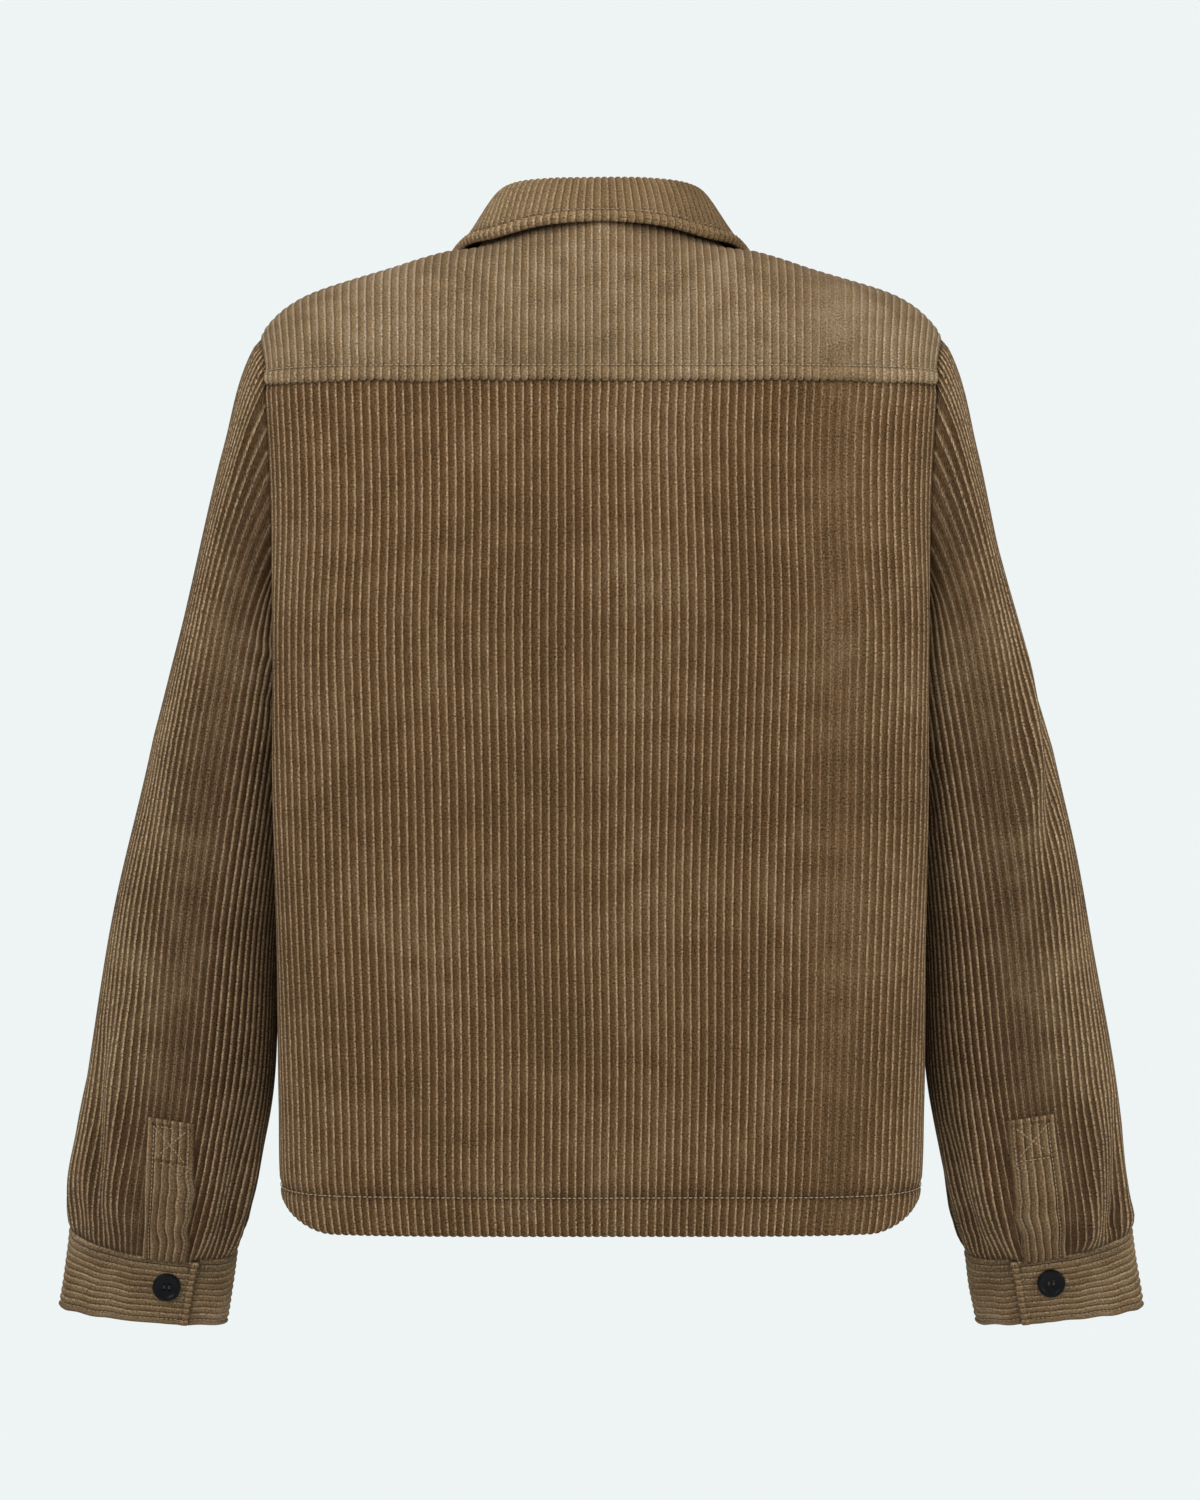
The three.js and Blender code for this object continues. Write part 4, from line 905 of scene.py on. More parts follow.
RIGHT_CREASES = [
    {"path": [(0, 20), (0, -340)], "reach": 46, "lift": -7.8},
    {"path": [(38, -215), (42, -285), (54, -345), (76, -395), (92, -490)], "reach": 9, "lift": 5.0},
    {"path": [(20, -240), (26, -295), (38, -350), (58, -410), (74, -490)], "reach": 8, "lift": -3.8},
    {"path": [(164, -284), (134, -310), (112, -350)], "reach": 8, "lift": 3.2},
    {"path": [(166, -322), (140, -344), (124, -384)], "reach": 7, "lift": -2.6},
    {"path": [(40, -560), (48, -620), (66, -700)], "reach": 8, "lift": 4.6},
    {"path": [(20, -570), (28, -630), (38, -700)], "reach": 7, "lift": -3.8},
    {"path": [(128, -560), (118, -620), (110, -700)], "reach": 8, "lift": 4.6},
    {"path": [(142, -580), (134, -700)], "reach": 7, "lift": -3.4},
    {"path": [(-60, -590), (-66, -700)], "reach": 10, "lift": 3.0},
    {"path": [(-110, -580), (-104, -700)], "reach": 10, "lift": 2.8},
    {"path": [(-156, -296), (-76, -334)], "reach": 14, "lift": 2.8},
]


def ring_points(around, height, grow=0.0):
    """A ring of the left sleeve or cuff; around goes from -1 over 0, the outer line, to 1."""
    around, height, grow = np.broadcast_arrays(*(np.asarray(v, float) for v in (around, height, grow)))
    shape = around.shape
    around, height, grow = around.ravel(), height.ravel(), grow.ravel()
    x, y, wide, deep, tilt, pitch = (
        smooth(SLEEVE["height"], SLEEVE[name], height) for name in ("x", "y", "wide", "deep", "tilt", "pitch")
    )
    wide, deep = wide + grow, deep + grow
    ratios, which = np.unique(np.round(deep / wide, 3), return_inverse=True)
    angle = np.linspace(0, np.pi, 721)
    flat_x, flat_y = np.zeros_like(around), np.zeros_like(around)
    for number, ratio in enumerate(ratios):
        c, s = np.cos(angle), np.abs(np.sin(angle))
        radius = (np.abs(c) ** SLEEVE_POWER + (s / ratio) ** SLEEVE_POWER) ** (-1 / SLEEVE_POWER)
        px, py = radius * c, radius * s
        length = np.concatenate([[0], np.cumsum(np.hypot(np.diff(px), np.diff(py)))])
        mine = which == number
        wanted = np.abs(around[mine]) * length[-1]
        flat_x[mine], flat_y[mine] = np.interp(wanted, length, px), np.interp(wanted, length, py)
    flat_x, flat_y = flat_x * wide, flat_y * wide * np.where(around < 0, -1, 1)
    tilt, pitch = np.radians(tilt), np.radians(pitch)
    lift = flat_x * np.sin(tilt) - flat_y * np.sin(pitch)
    return np.stack([x + flat_x * np.cos(tilt), y + flat_y, height + lift], axis=-1).reshape(*shape, 3)


def armhole_edge(face):
    """Half the armhole, from the shoulder line down to the underarm."""
    if face == "back":
        yoke_edge = over_shoulder(1.0, np.linspace(np.pi / 2, 0, 40))
        side_edge = body_points(BACK_ARM, np.linspace(YOKE_Z, ARMHOLE_BEND_Z, 20), "back")
        share = np.linspace(BACK_ARM, 1, 60)
        low_edge = body_points(share, armhole_height(share, BACK_ARM), "back")
    else:
        seam = np.pi - turn_at_depth(1.0, FRONT_SEAM_Y, "front")
        yoke_edge = over_shoulder(1.0, np.linspace(np.pi / 2, seam, 30))
        bend = (ARMHOLE_BEND_Z - CHEST_Z) / CHEST_TURN
        side_edge = over_shoulder(1.0, np.linspace(seam, np.pi - bend, 20))
        share = np.linspace(FRONT_ARM, 1, 60)
        low_edge = front_points(share, armhole_height(share, FRONT_ARM))
    return np.concatenate([yoke_edge, side_edge[1:], low_edge[1:]])


ARMHOLES = {face: armhole_edge(face) for face in ("back", "front")}


def cap_starts(around):
    """Where each line of the sleeve leaves the armhole."""
    share = np.interp(np.abs(around), CAP["wale"], CAP["armhole"])
    starts = np.zeros((len(around), 3))
    for face, edge in ARMHOLES.items():
        length = lengths(edge)
        points = np.stack([np.interp(share * length[-1], length, edge[:, k]) for k in range(3)], axis=1)
        mine = (around >= 0) if face == "back" else (around < 0)
        starts[mine] = points[mine]
    return starts


def lap_lift(turn):
    """How far the cuff's outer layer stands off the wrist."""
    return CUFF_LAP["lift"] * (1 - ramp(turn, 0.13, 0.3))


def sleeve_base(around, heights, folds, slack_seed, lap_edge):
    """The left sleeve's smooth surface with its folds: the cap, then the rings below it."""
    starts = cap_starts(around)
    rings = ring_points(around[None], heights[:, None])
    first, second = rings[0], rings[1]
    span = np.linalg.norm(first - starts, axis=1, keepdims=True)
    ridge = shoulder_ridge(np.array([0.97, 1.0]))
    shoulder_way = np.array([ridge[0][1] - ridge[0][0], 0, ridge[1][1] - ridge[1][0]])
    shoulder_way /= np.linalg.norm(shoulder_way)
    straight = (first - starts) / span
    share = (0.5 + 0.5 * ramp(np.abs(around), 0.05, 0.45))[:, None]
    leave = (shoulder_way * (1 - share) + straight * share) * span
    leave[:, 0] += 0.18 * span[:, 0]
    arrive = (second - first) / np.linalg.norm(second - first, axis=1, keepdims=True) * span
    t = np.linspace(0, 1, CAP_ROWS, endpoint=False)[:, None, None]
    cap = (2 * t**3 - 3 * t**2 + 1) * starts + (t**3 - 2 * t**2 + t) * leave
    cap = cap + (3 * t**2 - 2 * t**3) * first + (t**3 - t**2) * arrive
    base = np.concatenate([cap, rings])
    across = np.broadcast_to(around * HALF_SLEEVE, base.shape[:2])
    along = base[..., 2] * 0.5 + np.mean(base[..., 2], axis=1, keepdims=True) * 0.5
    normals = outward(base, -1, closed=True)
    gathers = slack(across, along * 0.35, 34, slack_seed) * 6.2 * ramp(-along, 585, 645)
    gathers = gathers + slack(across, along * 0.5, 17, slack_seed + 2) * 2.6 * ramp(-along, 630, 660)
    degrees = around * 180
    under_lap = lap_lift((lap_edge - degrees) / CUFF_LAP["sweep"])
    under_lap = under_lap * (1 - ramp(degrees, lap_edge - 5, lap_edge + 5))
    loose = creases(folds, across, along) + 2.4 * slack(across, along, 150, slack_seed + 1) + gathers
    inside = ramp(np.arange(len(base)), 0, 12)[:, None] * ramp(along - CUFF_TOP_Z, -4, 14)
    lifted = loose * inside + under_lap[None] * ramp(-along, 610, -CUFF_TOP_Z - 2)
    return base + normals * lifted[..., None]


def build_sleeve(side_name, side, folds, slack_seed):
    columns = SLEEVE_WALES * FINE
    around = np.linspace(-1, 1, columns + 1)[:-1]
    heights = np.linspace(BICEPS_Z, CUFF_TOP_Z + SEAM_GAP, RING_ROWS)
    base = sleeve_base(around, heights, folds, slack_seed, WRISTS[side_name]["lap_edge"])
    normals = outward(base, -1, closed=True)
    down = mean_lengths(base)[:, None]
    foot = down[-1] - down
    seam = 1 - ramp(down, 0, 4)
    cuff_seam = 1 - ramp(foot, 0, 5)
    underarm = np.exp(-(((1 - np.abs(around)) * HALF_SLEEVE / 1.5) ** 2))[None]
    relief = wale_relief(columns)[None] * (1 - 0.6 * seam) * (1 - 0.4 * cuff_seam)
    relief = relief - 0.7 * seam - 0.9 * cuff_seam - 0.6 * underarm
    outer = base + normals * relief[..., None]
    inner = (base - normals * CLOTH)[:, ::FINE]
    # Painted shade where the cap seam and the cuff seam sink in.
    painted_light = 1 - 0.3 * seam - 0.25 * cuff_seam
    for grid in (outer, inner, base, normals):
        grid[..., 0] *= side
    # Which flank of the wales carries the painted highlight, changing from quarter to quarter round the
    # sleeve.
    flank = np.broadcast_to(ramp(-np.sign(around) * (np.abs(around) - 0.5), -0.2, 0.2)[None], relief.shape)
    sleeve = cloth_shell(f"sleeve_panel_{side_name}", outer, inner, closed=True, painted_light=painted_light, flank=flank)
    finished(sleeve, sleeve_corduroy, f"sleeve_{side_name}")
    return base, normals


# The sleeves' copy of the corduroy is darker than the back's: painted shade on pieces that hang in folds,
# with their pile lying another way.
sleeve_corduroy = corduroy(
    "sleeve_corduroy", (0.067, 0.0345, 0.015), (0.34, 0.236, 0.13), (0.012, 0.006, 0.003),
    rim_amount=0.9, seed=31.0,
)
left_sleeve = build_sleeve("left", 1, LEFT_CREASES, 41)
right_sleeve = build_sleeve("right", -1, RIGHT_CREASES, 47)

# Sleeve plackets: a strip of the same corduroy, its edges turned in and topstitched, laid
# over the sleeve's slit above the cuff and closed at its top by a stitched box.
PLACKET_WALES = 6
PLACKET = {"from": 0.425, "to": 0.603, "foot_from": 0.476, "foot_to": 0.682, "foot": -667}
PLACKET_STITCH_IN = 3.6
BOX_DEPTH = 26
placket_corduroy = corduroy(
    "placket_corduroy", (0.125, 0.074, 0.035), (0.32, 0.23, 0.135), (0.022, 0.012, 0.005),
    rim_amount=0.7, seed=51.0,
)


def on_grid(grid, row, column):
    """Values of a grid of points between its rows and columns."""
    i, j = np.floor(row).astype(int), np.floor(column).astype(int)
    a, b = (row - i)[..., None], (column - j)[..., None]
    upper = grid[i, j] * (1 - b) + grid[i, j + 1] * b
    lower = grid[i + 1, j] * (1 - b) + grid[i + 1, j + 1] * b
    return upper * (1 - a) + lower * a


def build_placket(side_name, side, sleeve):
    base, normals = sleeve
    columns, rows = PLACKET_WALES * FINE + 1, 60
    u, v = np.meshgrid(np.linspace(0, 1, columns), np.linspace(0, 1, rows))
    top = WRISTS[side_name]["placket_top"]
    length = top - PLACKET["foot"]
    width = (PLACKET["to"] - PLACKET["from"]) * HALF_SLEEVE
    wave = 1.3 * np.sin(v * 14 + side) + 0.8 * np.sin(v * 31)
    shift = WRISTS[side_name]["placket"]
    start = PLACKET["from"] + (PLACKET["foot_from"] + shift - PLACKET["from"]) * v
    end = PLACKET["to"] + (PLACKET["foot_to"] + shift - PLACKET["to"]) * v
    around = start + (end - start) * u + wave * u * ramp(v, 0.25, 0.6) / HALF_SLEEVE
    height = top - length * v
    row = CAP_ROWS + (RING_ROWS - 1) * (height - BICEPS_Z) / (CUFF_TOP_Z + SEAM_GAP - BICEPS_Z)
    column = (around + 1) * SLEEVE_WALES * FINE / 2
    surface, facing = on_grid(base, row, column), on_grid(normals, row, column)
    facing /= np.linalg.norm(facing, axis=-1, keepdims=True)
    under = surface + facing * (WALE_HEIGHT + 0.25)
    from_side = np.minimum(u, 1 - u) * width
    from_top, from_foot = v * length, (1 - v) * length
    in_box = from_top < BOX_DEPTH + 1
    seams = np.exp(-(((from_side - PLACKET_STITCH_IN) / 0.8) ** 2))
    box = sum(np.exp(-(((from_top - line) / 0.8) ** 2)) for line in (PLACKET_STITCH_IN, BOX_DEPTH))
    pinch = np.clip(seams + box * (from_side > 2), 0, 1)
    roll = 1 - ramp(np.minimum(from_side, from_top), 2.4, 3.6)
    edge = np.clip(2 - ramp(from_side, 0, 1.4) - ramp(from_top, 0, 1.4), 0, 1)
    pucker = 0.7 * slack(0.6 * u * width, v * length, 9, 55 + side) * ramp(from_side, 2, 5)
    relief = wale_relief(columns)[None] * (1 - 0.5 * pinch) - 0.9 * pinch - 0.9 * edge + 0.7 * roll + pucker
    outer = under + facing * (CLOTH + relief)[..., None]
    inner = under[:, ::FINE]
    # Painted shade along the stitching, a painted highlight on the rolled edges, and the stitched box a
    # little lighter.
    painted_light = 1 - 0.35 * pinch + 0.05 * in_box + 0.12 * roll
    strip = cloth_shell(f"sleeve_placket_{side_name}", outer, inner, painted_light=painted_light)
    finished(strip, placket_corduroy, f"placket_{side_name}")
    lifted = under + facing * (CLOTH + 0.45)
    at_top, at_box = (np.searchsorted(from_top[:, 0], line) for line in (PLACKET_STITCH_IN, BOX_DEPTH))
    runs = [stitches(lifted[2:, c], facing[2:, c], 3.0, 2.2) for c in (4, columns - 5)]
    runs += [stitches(lifted[r, 4:-4], facing[r, 4:-4], 3.0, 2.2) for r in (at_top, at_box)]
    crossing = np.linspace(at_top, at_box - 1, 20)
    for way in (np.linspace(4, columns - 6, 20), np.linspace(columns - 6, 4, 20)):
        line = on_grid(lifted, crossing, way) + on_grid(facing, crossing, way) * 0.7
        runs.append(stitches(line, on_grid(facing, crossing, way), 2.6, 2.1))
    thread_piece(f"placket_topstitching_{side_name}", runs, brown_thread)


build_placket("left", 1, left_sleeve)
build_placket("right", -1, right_sleeve)

# Cuffs: a folded band of corduroy with its wales running round the wrist, lapped at the back
# of the sleeve, edge-stitched all round, with a bound buttonhole near the lap's end.
CUFF_WALES = 11
CUFF_STITCH_IN = 4.5
cuff_corduroy = corduroy(
    "cuff_corduroy", (0.142, 0.088, 0.042), (0.35, 0.26, 0.16), (0.024, 0.013, 0.006),
    rim_amount=0.6, patches=1.4, seed=61.0,
)


def cuff_points(turn, down, lap_edge):
    """A left cuff's band, from the lap's end round the wrist; down runs from 0 to 1."""
    turn, down = np.broadcast_arrays(np.asarray(turn, float), np.asarray(down, float))
    degrees = lap_edge - turn * CUFF_LAP["sweep"]
    around = ((degrees + 180) % 360 - 180) / 180
    return ring_points(around, CUFF_TOP_Z + (CUFF_BOTTOM_Z - CUFF_TOP_Z) * down, lap_lift(turn))


def build_cuff(side_name, side):
    columns, rows = CUFF_WALES * FINE + 1, 130
    down = np.linspace(0, 1, columns)
    turn = np.concatenate([np.linspace(0, 0.02, 7)[:-1], np.linspace(0.02, 1, rows - 6)])
    wrist = WRISTS[side_name]
    base = cuff_points(turn[:, None], down[None], wrist["lap_edge"])
    base[..., 0] *= side
    normals = outward(base, -side)
    around = mean_lengths(base)[:, None]
    total = CUFF_TOP_Z - CUFF_BOTTOM_Z
    tall = total * down[None]
    ripple = slack(around, 0, 22, 67 + side) * ramp(around, 8, 30)
    uneven = 1.1 * slack(around, tall * 0.6, 26, 65 + side) + 0.5 * ripple
    base[..., 2] += uneven * ramp(around, 4, 20) * ramp(tall, 4, 16)
    base = base + normals * (1.1 * slack(around, tall, 40, 63 + side) * ramp(around, 8, 30))[..., None]
    normals = outward(base, -side)
    from_edge = np.minimum(np.minimum(tall, total - tall), around)
    pinch = np.exp(-(((from_edge - CUFF_STITCH_IN) / 0.9) ** 2))
    edge = 1 - ramp(from_edge, 0, 1.8)
    lap_end = 1 - ramp(around, 3.6, 5)
    # A painted shadow that the lap casts on the under-layer beside its end.
    lap_shadow = np.exp(-(((around - np.interp(360 / CUFF_LAP["sweep"], turn, around[:, 0])) / 4) ** 2))
    relief = 1.25 * wale_relief(columns)[None] * (1 - 0.4 * pinch) + 1.4 * lap_end - 0.9 * pinch - 1.2 * edge
    outer = scallop(base + normals * relief[..., None], -(1 - ramp(around, 0, 2)), columns, 1.1)
    inner = (base - normals * CLOTH)[:, ::FINE]
    # Painted shade in the stitched pinch, a painted highlight on the lap's rolled end, and the painted shadow
    # beside the lap.
    painted_light = 1.02 - 0.3 * pinch + 0.16 * lap_end - 0.4 * lap_shadow
    cuff = cloth_shell(f"cuff_band_{side_name}", outer, inner, painted_light=painted_light)
    finished(cuff, cuff_corduroy, f"cuff_{side_name}")
    lifted = base + normals * 0.4
    inset = int(round(CUFF_STITCH_IN / total * (columns - 1)))
    first = int(np.searchsorted(around[:, 0], CUFF_STITCH_IN))
    runs = [stitches(lifted[first:, c], normals[first:, c], 3.0, 2.2) for c in (inset, columns - 1 - inset)]
    runs.append(stitches(lifted[first, inset:-inset], normals[first, inset:-inset], 3.0, 2.2))
    row = int(np.argmin(abs(turn - wrist["button"] - 0.03)))
    column = int(round(wrist["button_down"] * (columns - 1)))
    along = base[row + 1, column] - base[row - 1, column]
    along /= np.linalg.norm(along)
    facing = normals[row, column]
    runs.append(buttonhole(base[row, column] + facing * 0.95 - along * 3, along, facing, 13))
    thread_piece(f"cuff_topstitching_{side_name}", runs, brown_thread)


build_cuff("left", 1)
build_cuff("right", -1)

# Collar: a folded fall that rolls over the stand and lies on the shoulders, its points to
# the front, its wales up and down, topstitched along its edge.
COLLAR_WALES = 84
COLLAR_CLOTH = 2.4
COLLAR_STITCH_IN = 7.3
HALF_COLLAR = 215
FOLD = {
    "x": [0, 30, 57, 67, 61, 40, 3],
    "y": [47, 43, 26, -2, -40, -68, -79],
    "z": [39.5, 40, 39.5, 33, 14, -11, -31],
}
EDGE = {
    "x": [0, 38, 70, 92, 103, 93, 52],
    "y": [69, 64, 46, 6, -42, -81, -102],
    "z": [9.5, 7.5, 2, 2, -7.5, -52, -88],
}
ROLL_OUT = 7
ROLL_UP = 2
# The collar's copy of the corduroy is lighter than the back's: painted light on a piece that lies facing up.
collar_corduroy = corduroy(
    "collar_corduroy", (0.162, 0.102, 0.048), (0.35, 0.255, 0.15), (0.045, 0.025, 0.01),
    rim_amount=0.6, seed=71.0,
)


def collar_line(table, share):
    """A line of the collar from its right end over the centre back to its left end."""
    keys = np.arange(-6, 7)
    at = np.clip(share, -1, 1) * 6
    mirrored = {
        k: np.concatenate([(-1 if k == "x" else 1) * np.array(v[:0:-1]), v]) for k, v in table.items()
    }
    return np.stack([smooth(keys, mirrored[k], at) for k in "xyz"], axis=-1)


def fall_points(share, down):
    """Points of the fall, from its fold, down 0, over the roll to its edge, down 1."""
    share, down = np.broadcast_arrays(np.asarray(share, float), np.asarray(down, float))
    fold, edge = collar_line(FOLD, share), collar_line(EDGE, share)
    out = (edge - fold) * (1, 1, 0)
    out /= np.linalg.norm(out, axis=-1, keepdims=True)
    roll = fold + out * ROLL_OUT + np.array([0, 0, ROLL_UP])
    t = down[..., None]
    return (1 - t) ** 2 * fold + 2 * t * (1 - t) * roll + t**2 * edge


def build_collar():
    columns, rows = COLLAR_WALES * FINE + 1, 44
    share = np.linspace(-1, 1, columns)
    down = np.concatenate([np.linspace(0, 0.93, rows - 6), np.linspace(0.93, 1, 7)[1:]])
    base = fall_points(share[None], down[:, None])
    normals = outward(base, 1)
    gone = lengths(base)
    left = gone[-1:] - gone
    across = share[None] * HALF_COLLAR
    end = HALF_COLLAR - np.abs(across)
    base = base + normals * (0.6 * slack(across, gone, 60, 73) * ramp(left, 2, 12))[..., None]
    from_edge = np.minimum(left, end)
    pinch = np.exp(-(((from_edge - COLLAR_STITCH_IN) / 1.0) ** 2))
    edge = 1 - ramp(from_edge, 0, 2.0)
    fold = 1 - ramp(gone, 0, 2.2)
    band = 1 - ramp(from_edge, 6.0, 7.6)
    relief = (1.0 + 0.35 * band) * wale_relief(columns, 1.0)[None] * (1 - 0.4 * pinch)
    relief = relief + 1.5 * band - 1.6 * pinch - 1.9 * edge - 0.7 * fold
    outer = scallop(base + normals * relief[..., None], edge * (left < 3), columns, 1.8)
    inner = (base - normals * COLLAR_CLOTH)[:, ::FINE]
    # Painted shade in the stitched pinch and a painted highlight on the padded band.
    painted_light = 1 - 0.4 * pinch + 0.14 * band * (1 - pinch)
    fall = cloth_shell("collar_fall_cloth", outer, inner, painted_light=painted_light)
    finished(fall, collar_corduroy, "collar_fall")
    row = int(np.argmin(np.abs(left[:, columns // 2] - COLLAR_STITCH_IN)))
    lifted = base + normals * 0.5
    column = int(np.searchsorted(across[0], COLLAR_STITCH_IN - HALF_COLLAR))
    runs = [stitches(lifted[row, column:-column], normals[row, column:-column], 3.2, 2.4)]
    runs += [stitches(lifted[6:row, c], normals[6:row, c], 3.2, 2.4) for c in (column, columns - 1 - column)]
    thread_piece("collar_topstitching", runs, brown_thread)


build_collar()

# Collar stand: the band between the neck's edge and the collar's fold, its foot inside the
# neck's seam, where only its inner face and a dark line under the fall show.
STAND_UNDER_FOLD = 3.2
stand_corduroy = corduroy(
    "stand_corduroy", (0.15, 0.092, 0.05), (0.3, 0.21, 0.13), (0.04, 0.022, 0.01), seed=81.0,
)


def neck_line():
    """The neck's edge from the centre back, round the yoke and down the front."""
    share = np.linspace(0, NECK_SHARE, 60)
    roundness = np.sqrt(np.clip(1 - (share / NECK_SHARE) ** 2, 0, 1))
    back = over_shoulder(share, turn_at_depth(share, SHOULDER_Y + NECK_BACK * roundness, "back"))
    seam = np.pi - turn_at_depth(NECK_SHARE, FRONT_SEAM_Y, "front")
    top = over_shoulder(NECK_SHARE, np.linspace(np.pi / 2, float(seam), 20)[1:])
    share = np.linspace(FRONT_NECK_SHARE * 0.999, 0, 60)[1:]
    return np.concatenate([back, top, front_points(share, front_top(share))])


def build_stand():
    columns = COLLAR_WALES * FINE + 1
    share = np.linspace(-1, 1, columns)
    place = np.clip(np.abs(share), 0, 0.985)
    edge = neck_line()
    length = lengths(edge)
    foot = np.stack([np.interp(place * length[-1], length, edge[:, k]) for k in range(3)], axis=1)
    foot[:, 2] += LAP_LIFT * ramp(place, 0.72, 0.86)
    fall = fall_points(place[None], np.array([0.0, 0.02, 0.04])[:, None])
    under = outward(fall, 1)[1] * np.where(share < 0, -1, 1)[:, None]
    under[place < 0.004] = (0, 0.5, 0.87)
    top = collar_line(FOLD, place) - under * STAND_UNDER_FOLD
    rows = np.linspace(-0.16, 1, 26)[:, None, None]
    base = foot[None] * (1 - rows) + top[None] * rows
    base[..., 0] *= np.where(share < 0, -1, 1)
    normals = outward(base, -1)
    relief = 0.7 * wale_relief(columns)[None]
    outer = base + normals * (0.3 + relief)[..., None]
    inner = (base - normals * 1.3)[:, ::FINE]
    stand = cloth_shell("collar_stand_cloth", outer, inner)
    finished(stand, stand_corduroy, "collar_stand")


build_stand()

# Buttons: moulded black buttons with four holes and a dished face, six down the front and
# one on each cuff, sewn on with dark thread.
BUTTON_RADIUS = 9.5
BUTTON_THICK = 3
HOLE_PLACE = 2.4
HOLE_RADIUS = 1.0
BUTTON_GAP = 0.35
FRONT_BUTTONS = {"count": 6, "top": -150, "pitch": 86}
button_plastic = bpy.data.materials.new("button_plastic")
button_plastic.use_nodes = True
button_nodes, button_links = button_plastic.node_tree.nodes, button_plastic.node_tree.links
button_shader = button_nodes["Principled BSDF"]
button_place = button_nodes.new("ShaderNodeTexCoord")
button_cloud = button_nodes.new("ShaderNodeTexNoise")
button_cloud.inputs["Scale"].default_value = 260
button_tint = button_nodes.new("ShaderNodeMix")
button_tint.data_type = "RGBA"
button_tint.inputs["A"].default_value = (0.0025, 0.003, 0.0035, 1)
button_tint.inputs["B"].default_value = (0.006, 0.0065, 0.007, 1)
button_links.new(button_place.outputs["Object"], button_cloud.inputs["Vector"])
button_links.new(button_cloud.outputs["Fac"], button_tint.inputs["Factor"])
button_links.new(button_tint.outputs["Result"], button_shader.inputs["Base Color"])
button_shader.inputs["Roughness"].default_value = 0.3
button_shader.inputs["Specular IOR Level"].default_value = 0.1
black_thread = sewing_thread("black_thread", (0.02, 0.018, 0.017))


def lathe(name, profile, steps):
    """A closed turned shape; the profile starts and ends on the axis."""
    angle = np.arange(steps) * 2 * np.pi / steps
    points = [(0, 0, profile[0][1])]
    for radius, height in profile[1:-1]:
        points.extend((radius * math.cos(a), radius * math.sin(a), height) for a in angle)
    points.append((0, 0, profile[-1][1]))
    last = len(points) - 1
    faces = [(0, 1 + (k + 1) % steps, 1 + k) for k in range(steps)]
    for ring in range(len(profile) - 3):
        low, high = 1 + ring * steps, 1 + (ring + 1) * steps
        faces.extend((low + k, low + (k + 1) % steps, high + (k + 1) % steps, high + k) for k in range(steps))
    first = last - steps
    faces.extend((first + k, first + (k + 1) % steps, last) for k in range(steps))
    mesh = bpy.data.meshes.new(name)
    mesh.from_pydata([tuple(0.001 * c for c in p) for p in points], [], faces)
    return mesh


def button_mesh():
    """The button's body with its four holes cut through."""
    r, t = BUTTON_RADIUS, BUTTON_THICK
    profile = [
        (0, 0), (r - 1.2, 0), (r - 0.35, 0.35), (r, 1.1), (r, t - 1.0), (r - 0.3, t - 0.35),
        (r - 0.9, t - 0.05), (r - 1.6, t), (r - 2.3, t - 0.12), (r - 2.9, t - 0.5),
        (r - 3.6, t - 0.85), (3.6, t - 1.05), (0, t - 1.1),
    ]
    body = bpy.data.objects.new("button_blank", lathe("button_blank", profile, 64))
    bpy.context.collection.objects.link(body)
    drills = []
    for k in range(4):
        angle = math.radians(45 + 90 * k)
        pin = lathe("button_drill", [(0, -1), (HOLE_RADIUS, -1), (HOLE_RADIUS, t + 1), (0, t + 1)], 20)
        drill = bpy.data.objects.new("button_drill", pin)
        drill.location = (0.001 * HOLE_PLACE * math.cos(angle), 0.001 * HOLE_PLACE * math.sin(angle), 0)
        bpy.context.collection.objects.link(drill)
        cut = body.modifiers.new("hole", "BOOLEAN")
        cut.operation = "DIFFERENCE"
        cut.object = drill
        drills.append(drill)
    made = bpy.data.meshes.new_from_object(body.evaluated_get(bpy.context.evaluated_depsgraph_get()))
    for spare in (body, *drills):
        bpy.data.objects.remove(spare)
    made.name = "button"
    made.shade_smooth()
    made.set_sharp_from_angle(angle=math.radians(40))
    made.materials.clear()
    made.materials.append(button_plastic)
    return made


BUTTON_MESH = button_mesh()


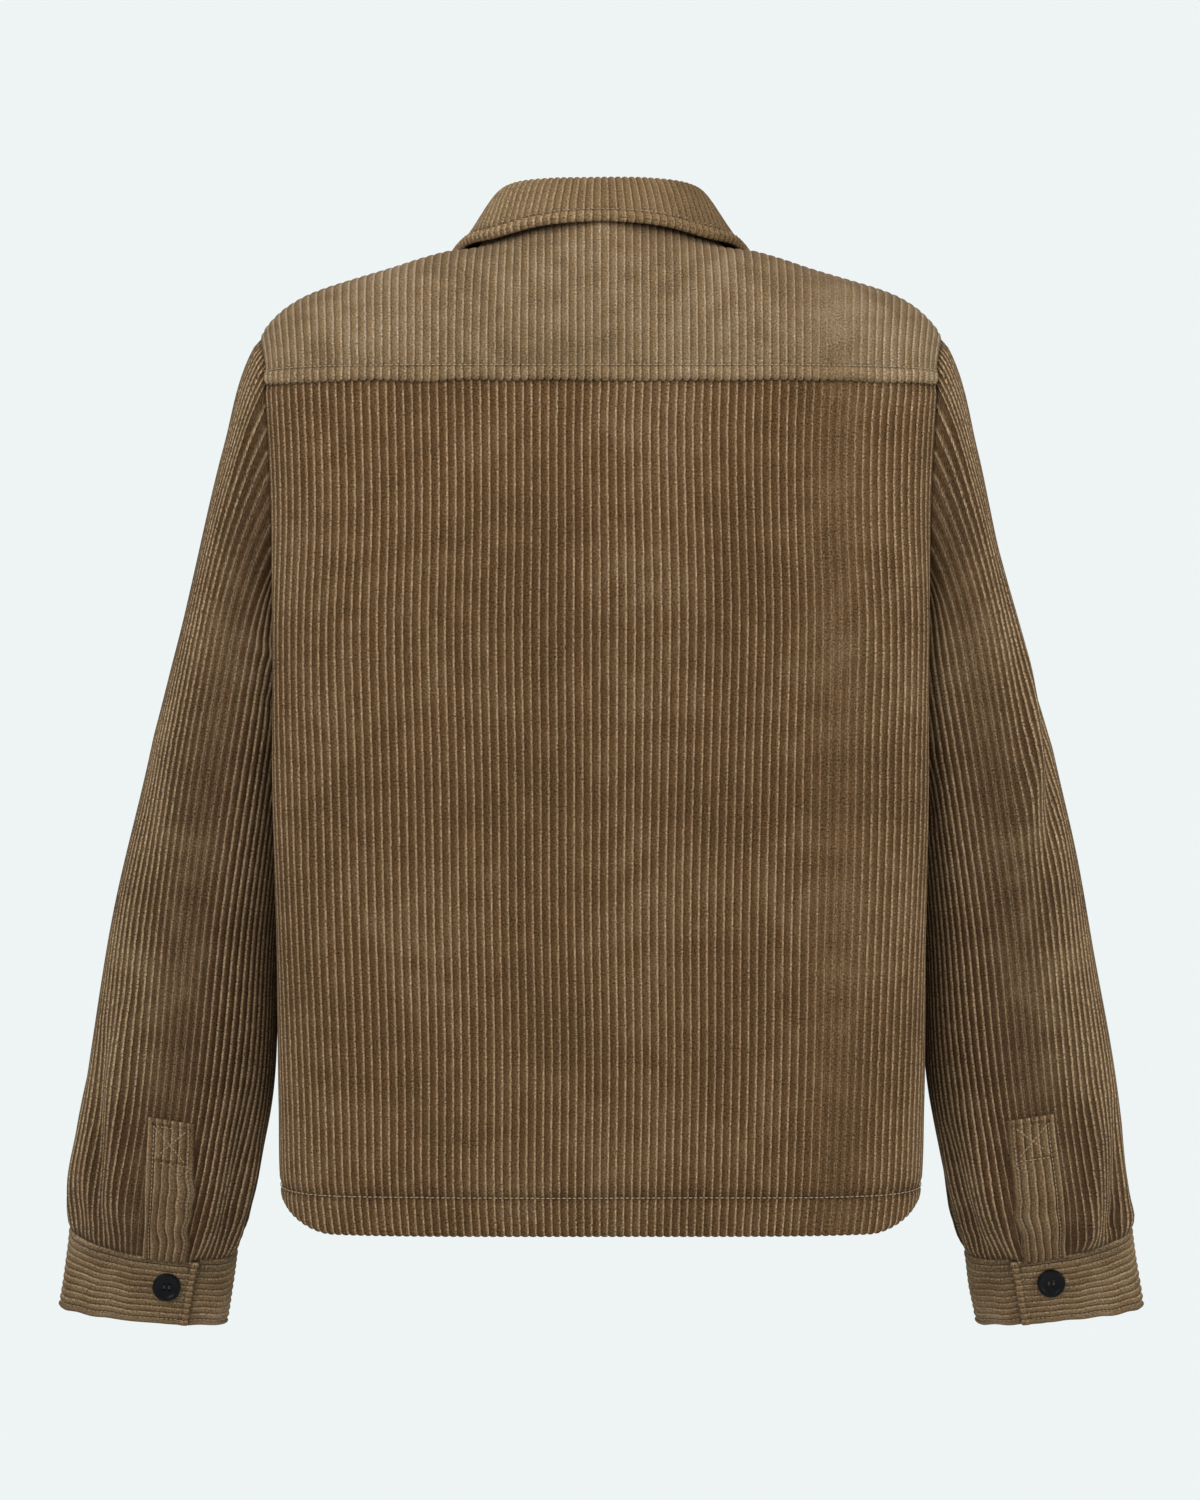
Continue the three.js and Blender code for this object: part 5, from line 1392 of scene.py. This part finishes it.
def add_button(name, point, normal, turn=0.0):
    """A button and its thread; point is the middle of the button's back."""
    button = bpy.data.objects.new(name, BUTTON_MESH)
    button.rotation_mode = "QUATERNION"
    tilt = Vector((0, 0, 1)).rotation_difference(Vector(normal))
    button.rotation_quaternion = tilt
    button.location = Vector(point) * 0.001
    bpy.context.collection.objects.link(button)
    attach(button, "root")
    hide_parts(name)
    reach = HOLE_PLACE * math.sqrt(0.5)
    starts, ends = [], []
    for side in (-1, 1):
        for strand in (-0.35, 0, 0.35):
            low = Vector((side * reach + strand, -reach, BUTTON_THICK - 0.95))
            high = Vector((side * reach + strand, reach, BUTTON_THICK - 0.95))
            starts.append(Vector(point) + tilt @ low)
            ends.append(Vector(point) + tilt @ high)
    ups = np.broadcast_to(np.array(normal, float), (len(starts), 3))
    bars = thread_bars(np.array(starts), np.array(ends), ups, 0.26, 0.8)
    shank_from = np.array([tuple(Vector(point) - Vector(normal) * 1.6)] * 2)
    shank_to = np.array([tuple(Vector(point) + Vector(normal) * 0.4)] * 2)
    across = tilt @ Vector((1, 0, 0))
    offset = np.array([[*(across * 0.9)], [*(across * -0.9)]])
    side_up = np.broadcast_to(np.array([*(tilt @ Vector((0, 1, 0)))]), (2, 3))
    shank = thread_bars(shank_from + offset, shank_to + offset, side_up, 0.8, 0.0)
    thread_piece(f"{name}_thread", [bars, shank], black_thread)


def place_buttons():
    for number in range(FRONT_BUTTONS["count"]):
        height = FRONT_BUTTONS["top"] - FRONT_BUTTONS["pitch"] * number
        patch = front_points(np.array([[-0.004, 0, 0.004]] * 3), height + np.array([[-2], [0], [2]]))
        normal = outward(patch, 1)[1, 1]
        lift = LAP_LIFT + WALE_HEIGHT + BUTTON_GAP
        add_button(f"front_button_{number + 1}", patch[1, 1] + normal * lift, normal)
    for side_name, side in (("left", 1), ("right", -1)):
        wrist = WRISTS[side_name]
        turn = wrist["button"] + np.array([[-0.004], [0], [0.004]])
        patch = cuff_points(turn, wrist["button_down"] + np.array([[-0.02, 0, 0.02]]), wrist["lap_edge"])
        patch[..., 0] *= side
        normal = outward(patch, -side)[1, 1]
        add_button(f"cuff_button_{side_name}", patch[1, 1] + normal * (WALE_HEIGHT + BUTTON_GAP), normal)


place_buttons()
